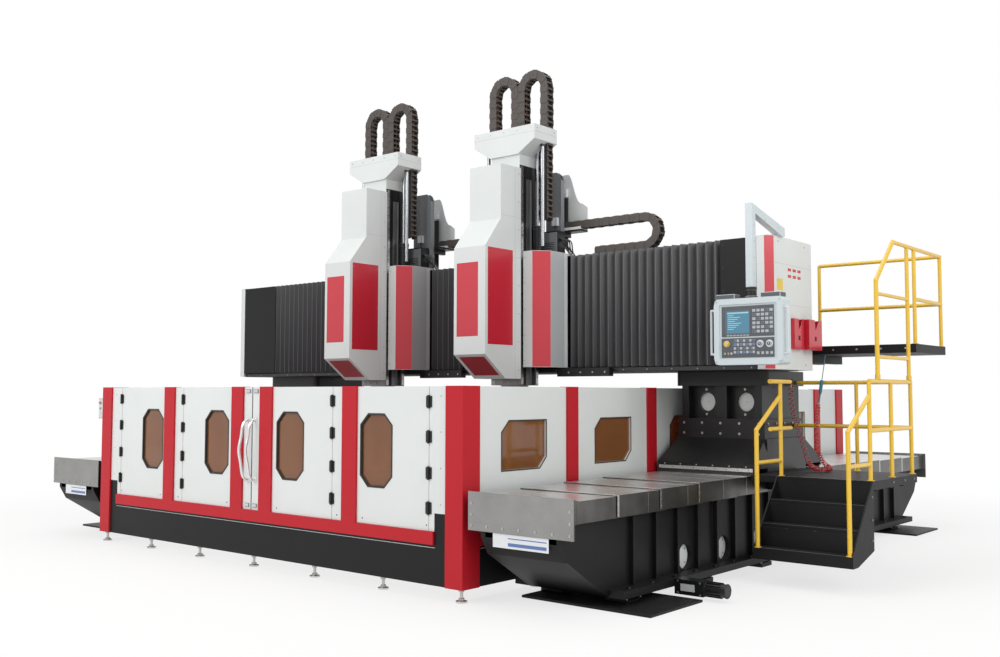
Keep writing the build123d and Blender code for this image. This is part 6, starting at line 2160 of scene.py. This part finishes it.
@dataclass
class Pendant:
    """The operator's panel: housing, frame, screen, keys, buttons, knobs and grips."""

    shop: Finishes
    x: float = 4.175
    y: float = -1.520
    half: float = 0.340
    low: float = 1.967
    high: float = 2.575
    front: float = -1.605
    rear: float = -1.435
    recess: float = 0.012
    bezel: Pair = (0.285, 0.250)
    plate: float = 0.004
    screen_x: Span = (3.962, 4.190)
    screen_z: Span = (2.256, 2.456)
    grip_y: float = -1.575
    grip_reach: float = 0.040
    grip_half: float = 0.203
    grip_radius: float = 0.0115

    @property
    def middle(self) -> float:
        """The height of its middle."""
        return (self.low + self.high) / 2

    @property
    def face(self) -> float:
        """Y of the plates that carry the keys."""
        return self.front + self.recess - self.plate

    def keys(self, piece: Piece, x: float, z: float, half: Pair, finish: str) -> None:
        """Adds one raised key in the recess."""
        piece.box(around(x, half[0]), (self.face - 0.003, self.face), around(z, half[1]), finish,
                  0.0008)

    def body(self, piece: Piece) -> None:
        """Adds the rounded housing, its front frame, top boxes and neck.

        Args:
            piece: the pendant's mesh.
        """
        x, y, top, blue = self.x, self.y, self.high, "blue_grey_paint"
        piece.prism(rounded(around(x, self.half), (self.low, top), 0.035), Along.Y,
                    (self.front + self.recess, self.rear), blue, 0.0025)
        inner = rounded(around(x, self.bezel[0]), around(self.middle, self.bezel[1]), 0.015, 4)
        framed(piece, inner, Along.Y, (self.front, self.front + self.recess), 0.054, blue)
        for offset in (-0.235, 0.215):
            piece.box(around(x + offset, 0.095), around(y, 0.060), (top, top + 0.045),
                      "panel_plastic", 0.004)
        piece.stubs([(x, y, top)], UP, 0.020, 0.058, "panel_plastic", 28, 0.002)
        piece.stubs([(x, y, top + 0.020)], UP, 0.0545, 0.045, "black_paint", 28, 0.002)
        piece.screws(((x + dx, y + dy, top + 0.020) for dx, dy in circle(0.050, 4, 45)), UP, 0.004)

    def screen(self, piece: Piece) -> None:
        """Adds the screen with its frame, its lines and the keys below it.

        Args:
            piece: the pendant's mesh.
        """
        face, (left, right), (low, high) = self.face, self.screen_x, self.screen_z
        glass = (face - 0.0014, face - 0.0009)
        framed(piece, [(left, low), (right, low), (right, high), (left, high)], Along.Y,
               (face - 0.003, face), 0.012, "key_dark")
        piece.box(self.screen_x, (face - 0.001, face), self.screen_z, "screen_blue", 0)
        piece.box((left + 0.008, right - 0.008), glass, (high - 0.020, high - 0.008),
                  "screen_line", 0)
        for index in range(8):
            width = 0.06 + 0.09 * ((index * 5) % 7) / 7
            piece.box((left + 0.012, left + 0.012 + width), glass,
                      around(2.420 - index * 0.018, 0.003), "screen_line", 0)
        for index in range(7):
            self.keys(piece, 3.976 + index * 0.033, 2.236, (0.012, 0.005), "key_plastic")

    def panel(self, piece: Piece) -> None:
        """Adds the plates, the keys, the buttons and the knobs.

        Args:
            piece: the pendant's mesh.
        """
        face, pale, dark = self.face, "key_plastic", "key_dark"
        plate = (face, face + self.plate)
        piece.box((3.911, 4.432), plate, (2.222, 2.505), "panel_plastic", 0.001)
        piece.box((3.908, 4.432), plate, (2.031, 2.212), "panel_plastic", 0.001)
        for row, column in product(range(6), range(5)):
            self.keys(piece, 4.236 + column * 0.042, 2.268 + row * 0.038, (0.015, 0.012),
                      pale if (row * 5 + column) % 4 else dark)
        for row, column in product(range(4), range(7)):
            self.keys(piece, 4.044 + column * 0.031, 2.082 + row * 0.035, (0.011, 0.011),
                      (pale, pale, "label_blue", dark)[(row + 2 * column) % 4])
        for x in steps(4.275, 4.405, 4):
            self.keys(piece, x, 2.072, (0.012, 0.012), pale)
        for reach, length, radius, finish, sides, soft in (
                (0.0, 0.006, 0.030, "label_yellow", 32, 0.001),
                (0.006, 0.010, 0.012, "button_yellow", 24, 0),
                (0.016, 0.014, 0.021, "button_yellow", 28, 0.004)):
            piece.stubs([(3.963, face - reach, 2.160)], FRONT, length, radius, finish, sides, soft)
        for index, finish in enumerate(("button_green", "button_red", pale)):
            piece.stubs([(3.945 + index * 0.033, face, 2.070)], FRONT, 0.010, 0.011, finish, 20,
                        0.002)
        for x in (4.295, 4.385):
            piece.stubs([(x, face, 2.155)], FRONT, 0.003, 0.034, "label_white", 32)
            piece.stubs([(x, face - 0.003, 2.155)], FRONT, 0.019, 0.021, dark, 24, 0.003)
            piece.box(around(x, 0.003), (face - 0.027, face - 0.021), (2.150, 2.176), pale, 0.001)
        heights = (self.low + 0.028, self.high - 0.028)
        piece.screws(product(around(self.x, 0.312), (self.front,), heights), FRONT, 0.0042)

    def back(self, piece: Piece) -> None:
        """Adds the lid, louvres and screws of the back.

        Args:
            piece: the pendant's mesh.
        """
        lid = self.rear + 0.003
        piece.box(around(self.x, 0.280), (self.rear, lid), (2.010, 2.530), "blue_grey_paint", 0.001)
        for z in steps(2.060, 2.180, 7):
            piece.box(around(self.x, 0.120), (lid, lid + 0.003), around(z, 0.004), "panel_plastic",
                      0.0008)
        piece.screws(product(around(self.x, 0.265), (lid,), steps(2.030, 2.510, 4)), BACK, 0.004)

    def grips(self, piece: Piece) -> None:
        """Adds the two grips at the sides.

        Args:
            piece: the pendant's mesh.
        """
        y, radius, pale = self.grip_y, self.grip_radius, "pale_plastic"
        low, high = around(self.middle, self.grip_half)
        for sx in SIDES:
            edge = self.x + sx * self.half
            grip = edge + sx * self.grip_reach
            for z in (low, high):
                piece.rod((edge - sx * 0.001, y, z), (edge + sx * 0.005, y, z), 0.017, pale, 20,
                          0.001)
                piece.rod((edge, y, z), (grip, y, z), radius, pale, 16)
                piece.ball((grip, y, z), radius + 0.0003, pale)
            piece.rod((grip, y, low), (grip, y, high), radius, pale, 16)
            piece.rod((grip, y, self.middle - 0.150), (grip, y, self.middle + 0.150),
                      radius + 0.0007, "blue_grey_paint", 16, 0.001)

    def build(self) -> None:
        """Shapes the whole panel as one piece."""
        piece = Piece("operator_panel", self.shop)
        self.body(piece)
        self.panel(piece)
        self.screen(piece)
        self.back(piece)
        self.grips(piece)
        piece.done(Body.PENDANT, ["pendant_housing"])


@dataclass
class PendantArm:
    """Bolts and joints of the pendant's arm."""

    shop: Finishes
    x: float = 4.175
    y: float = -1.520
    foot_y: float = -0.899
    flange_top: float = 3.2403
    rise: float = 3.360
    fall: float = 0.085

    def build(self) -> None:
        """Shapes the arm's flange bolts, swivel ring and side screws."""
        piece = Piece("pendant_arm_fittings", self.shop)
        low = span("pendant_arm", Along.Z)[0]
        piece.bolts(product((4.072, 4.125), around(self.foot_y, 0.048), (self.flange_top,)),
                    UP, 0.008)
        piece.stubs([(self.x, self.y, low)], UP, 0.030, 0.052, "black_paint", 32, 0.002)
        places = [(self.y, z) for z in steps(2.80, 3.25, 4)]
        places += [(self.y + (self.foot_y - self.y) * share, self.rise - self.fall * share)
                   for share in steps(0.15, 0.85, 4)]
        piece.stubs(((self.x + 0.035, y, z) for y, z in places), (1, 0, 0), 0.0025, 0.006, sides=14)
        piece.done(Body.GANTRY)


@dataclass
class Platforms:
    """Tread studs, nosings, post flanges and bolts of stair and platforms."""

    shop: Finishes
    lower_x: Span = (4.200, 5.110)
    lower_y: Span = (-1.105, 0.042)
    lower_top: float = 0.935
    upper_x: Span = (3.687, 5.110)
    upper_y: Span = (0.100, 1.010)
    upper_top: float = 2.195
    stair_y: float = -1.1053
    stair_reach: float = 0.490
    tread_depth: float = 0.160
    rise: float = 0.2014
    rail_right: float = 5.0757
    rail_left: float = 4.2343
    stud_half: Pair = (0.015, 0.0035)
    stud_margin: float = 0.055

    def studs(self, piece: Piece, x: Span, y: Span, top: float, pitch: float = 0.062) -> None:
        """Covers a deck with raised anti-slip bars.

        Args:
            piece: the piece that gets them.
            x: the deck's span along X.
            y: the deck's span along Y.
            top: the deck's height.
            pitch: the distance from bar to bar.
        """
        edge, (long, wide) = self.stud_margin, self.stud_half
        columns, rows = (steps(low + edge, high - edge, int((high - low - 0.09) / pitch))
                         for low, high in (x, y))
        for (column, px), (row, py) in product(enumerate(columns), enumerate(rows)):
            a, b = heading(45 if (column + row) % 2 else -45)
            corners = [(px + a * along - b * across, py + b * along + a * across, top)
                       for along, across in ((-long, -wide), (long, -wide), (long, wide),
                                             (-long, wide))]
            piece.plate(corners, 0.0014, "floor_black_paint", 0)

    def decks(self) -> None:
        """Studs the decks and treads and puts nosings on them."""
        piece = Piece("platform_treads", self.shop)
        self.studs(piece, self.lower_x, self.lower_y, self.lower_top)
        self.studs(piece, self.upper_x, self.upper_y, self.upper_top)
        (left, right), lower = self.lower_x, self.lower_y[0]
        inner, edge = (left + 0.014, right - 0.014), (left + 0.016, right - 0.016)
        for step in range(1, 4):
            front = self.stair_y - step * self.stair_reach / 3
            top = self.lower_top - step * self.rise
            self.studs(piece, inner, (front + 0.01, front + self.tread_depth - 0.005), top, 0.045)
            piece.box(edge, (front - 0.001, front + 0.020), (top, top + 0.002), "panel_plastic",
                      0.0006)
        piece.box(inner, (lower, lower + 0.025), (self.lower_top, self.lower_top + 0.002),
                  "panel_plastic", 0.0006)
        for x, way in ((left, -1), (right, 1)):
            piece.bolts(((x, self.stair_y - 0.035, z) for z in (0.42, 0.60, 0.80)), (way, 0, 0),
                        0.008)
        piece.bolts(((right, y, 0.895) for y in (-0.60, -0.30, -0.05)), (1, 0, 0), 0.008)
        places = steps(self.upper_x[0] + 0.10, self.upper_x[1] - 0.10, 6)
        for y, out in zip(self.upper_y, (FRONT, BACK)):
            piece.bolts(((x, y, 2.155) for x in places), out, 0.008)
        piece.done(Body.GANTRY)

    def posts(self) -> None:
        """Adds the foot plates of all posts and the clamps of the side frame."""
        piece = Piece("railing_flanges", self.shop)
        left, right, rear, low = self.rail_left, self.rail_right, 0.0077, self.lower_top
        front, foot = -1.0707, self.stair_y - self.stair_reach + 0.020
        tread = low - 3 * self.rise
        for x, y, z in ((right, front, low), (right, -0.5315, low), (right, rear, low),
                        (left, front, low), (4.545, rear, low), (3.767, 0.990, self.upper_top),
                        (right, 0.990, self.upper_top), (right, 0.185, self.upper_top),
                        (left, foot, tread), (right, foot, tread)):
            piece.stubs([(x, y, z)], UP, 0.006, 0.033, "yellow_paint", 28, 0.001)
            piece.screws(((x + dx, y + dy, z + 0.006) for dx, dy in circle(0.0255, 4, 45)), UP,
                         0.0035, "zinc_bolt")
        for y in (-0.850, -0.021):
            piece.stubs([(right, y, 1.836)], UP, 0.044, 0.0245, "yellow_paint", 24, 0.002)
            piece.bolts([(right, y - 0.0245, 1.858)], FRONT, 0.005)
        piece.done(Body.GANTRY)

    def build(self) -> None:
        """Shapes every small part of the platforms."""
        self.decks()
        self.posts()


@dataclass
class ToolHolders:
    """Dark inner sheets and screws of the folded tool holders."""

    shop: Finishes
    face: float = 4.1773
    sheet: float = 0.006
    folds: tuple[tuple[Span, float], ...] = (((-0.690, -0.470), 0.040), ((-0.440, -0.130), 0.080))

    def build(self) -> None:
        """Shapes the sheets behind the holes and the screws."""
        piece = Piece("tool_holder_fittings", self.shop)
        for (start, end), reach in self.folds:
            front = self.face + reach
            piece.box((front - 0.0105, front - self.sheet), around((start + end) / 2, 0.032),
                      around(2.250, 0.032), "black_rubber", 0)
            piece.stubs(product((front,), (start + 0.022, end - 0.022), (2.165, 2.390)), (1, 0, 0),
                        0.0025, 0.006, sides=14)
        piece.done(Body.GANTRY)


@dataclass
class AirHose:
    """The curly air hose: turns at the column, a stretched run, a heap on the deck, the gun."""

    shop: Finishes
    route: tuple[Point, ...] = (
        (3.949, -0.206, 1.800), (3.949, -0.206, 1.650), (3.985, -0.222, 1.480),
        (4.060, -0.238, 1.280), (4.120, -0.262, 1.110), (4.190, -0.320, 0.985),
        (4.290, -0.380, 0.963), (4.385, -0.330, 0.963), (4.372, -0.235, 0.968),
        (4.290, -0.230, 1.015), (4.250, -0.269, 1.125), (4.243, -0.263, 1.300),
        (4.2366, -0.2426, 1.4705), (4.226, -0.165, 1.610))
    outer: float = 0.026
    strand: float = 0.0048
    pitches: tuple[Pair, ...] = ((0.0, 0.050), (0.40, 0.050), (0.48, 0.019), (0.66, 0.019),
                                 (0.74, 0.034), (1.0, 0.034))
    steps_per_turn: int = 14
    taper: float = 0.030

    def pitch_at(self, share: float) -> float:
        """Finds the distance between turns.

        Args:
            share: the share of the length.

        Returns:
            the distance there.
        """
        for (start, before), (end, after) in zip(self.pitches, self.pitches[1:]):
            if share <= end:
                return before + (after - before) * (share - start) / (end - start)
        return self.pitches[-1][1]

    def helix(self, points: Sequence[Vector], lengths: Sequence[float]) -> list[Vector]:
        """Winds the strand round the route.

        Args:
            points: the route's smooth points.
            lengths: the length up to each point.

        Returns:
            The points of the strand.
        """
        total = lengths[-1]
        normal = (points[1] - points[0]).orthogonal().normalized()
        found: list[Vector] = []
        place, turn, index = 0.0, 0.0, 0
        while place < total:
            while index < len(lengths) - 2 and lengths[index + 1] < place:
                index += 1
                way = (points[index + 1] - points[index]).normalized()
                normal = (normal - way * normal.dot(way)).normalized()
            way = (points[index + 1] - points[index]).normalized()
            inside = (place - lengths[index]) / max(lengths[index + 1] - lengths[index], 1e-9)
            centre = points[index].lerp(points[index + 1], min(max(inside, 0.0), 1.0))
            narrowing = min(1.0, 0.05 + min(place, total - place) / self.taper)
            radius = (self.outer - self.strand) * narrowing
            across = way.cross(normal)
            found.append(centre + (normal * math.cos(turn) + across * math.sin(turn)) * radius)
            turn += 2 * math.pi / self.steps_per_turn
            place += self.pitch_at(place / total) / self.steps_per_turn
        return found

    def build(self) -> None:
        points = spline_points(self.route, 24)
        lengths = [0.0]
        for before, here in zip(points, points[1:]):
            lengths.append(lengths[-1] + (here - before).length)
        piece = Piece("curly_air_hose", self.shop)
        piece.tube(self.helix(points, lengths), self.strand, "red_hose", 7)
        hose = piece.done(Body.GANTRY, ["air_hose"], smooth=70)
        fittings = Piece("air_hose_fittings", self.shop)
        start, end, way = Vector(self.route[0]), points[-1], (points[-1] - points[-2]).normalized()
        for first, last, radius, sides in (
                (start + Vector(UP) * 0.0005, start + Vector(DOWN) * 0.016, 0.012, 6),
                (start + Vector(DOWN) * 0.016, start + Vector(DOWN) * 0.030, 0.008, 16),
                (end - way * 0.022, end, 0.0075, 16)):
            fittings.rod(first, last, radius, "brass", sides, 0.001)
        fitted = fittings.done(Body.GANTRY)
        log.info("air hose: %.3f m along its line", lengths[-1])


def main() -> None:
    """Builds the studio and every sub-assembly in order."""
    shop = Finishes()
    Studio().build()
    FactoryFinish().dress(shop)
    for assembly in (AirHose, Guard, Beds, WayCovers, Columns, Crossbeam, Bellows, Pendant,
                     PendantArm, Platforms, ToolHolders):
        assembly(shop).build()
    slim, thick = DragChain(shop), DragChain(shop, height=0.100, width=0.120)
    for side, middle, lane, post_right in ((Side.LEFT, -0.815, -0.820, 0.480),
                                           (Side.RIGHT, 1.275, -0.990, 0.392)):
        Saddle(shop, side, middle, post_right).build()
        Head(shop, side, middle).build()
        slim.saddle_run(side, middle, lane)
        thick.head_loops(side, middle, slim)


if __name__ == "__main__":
    main()
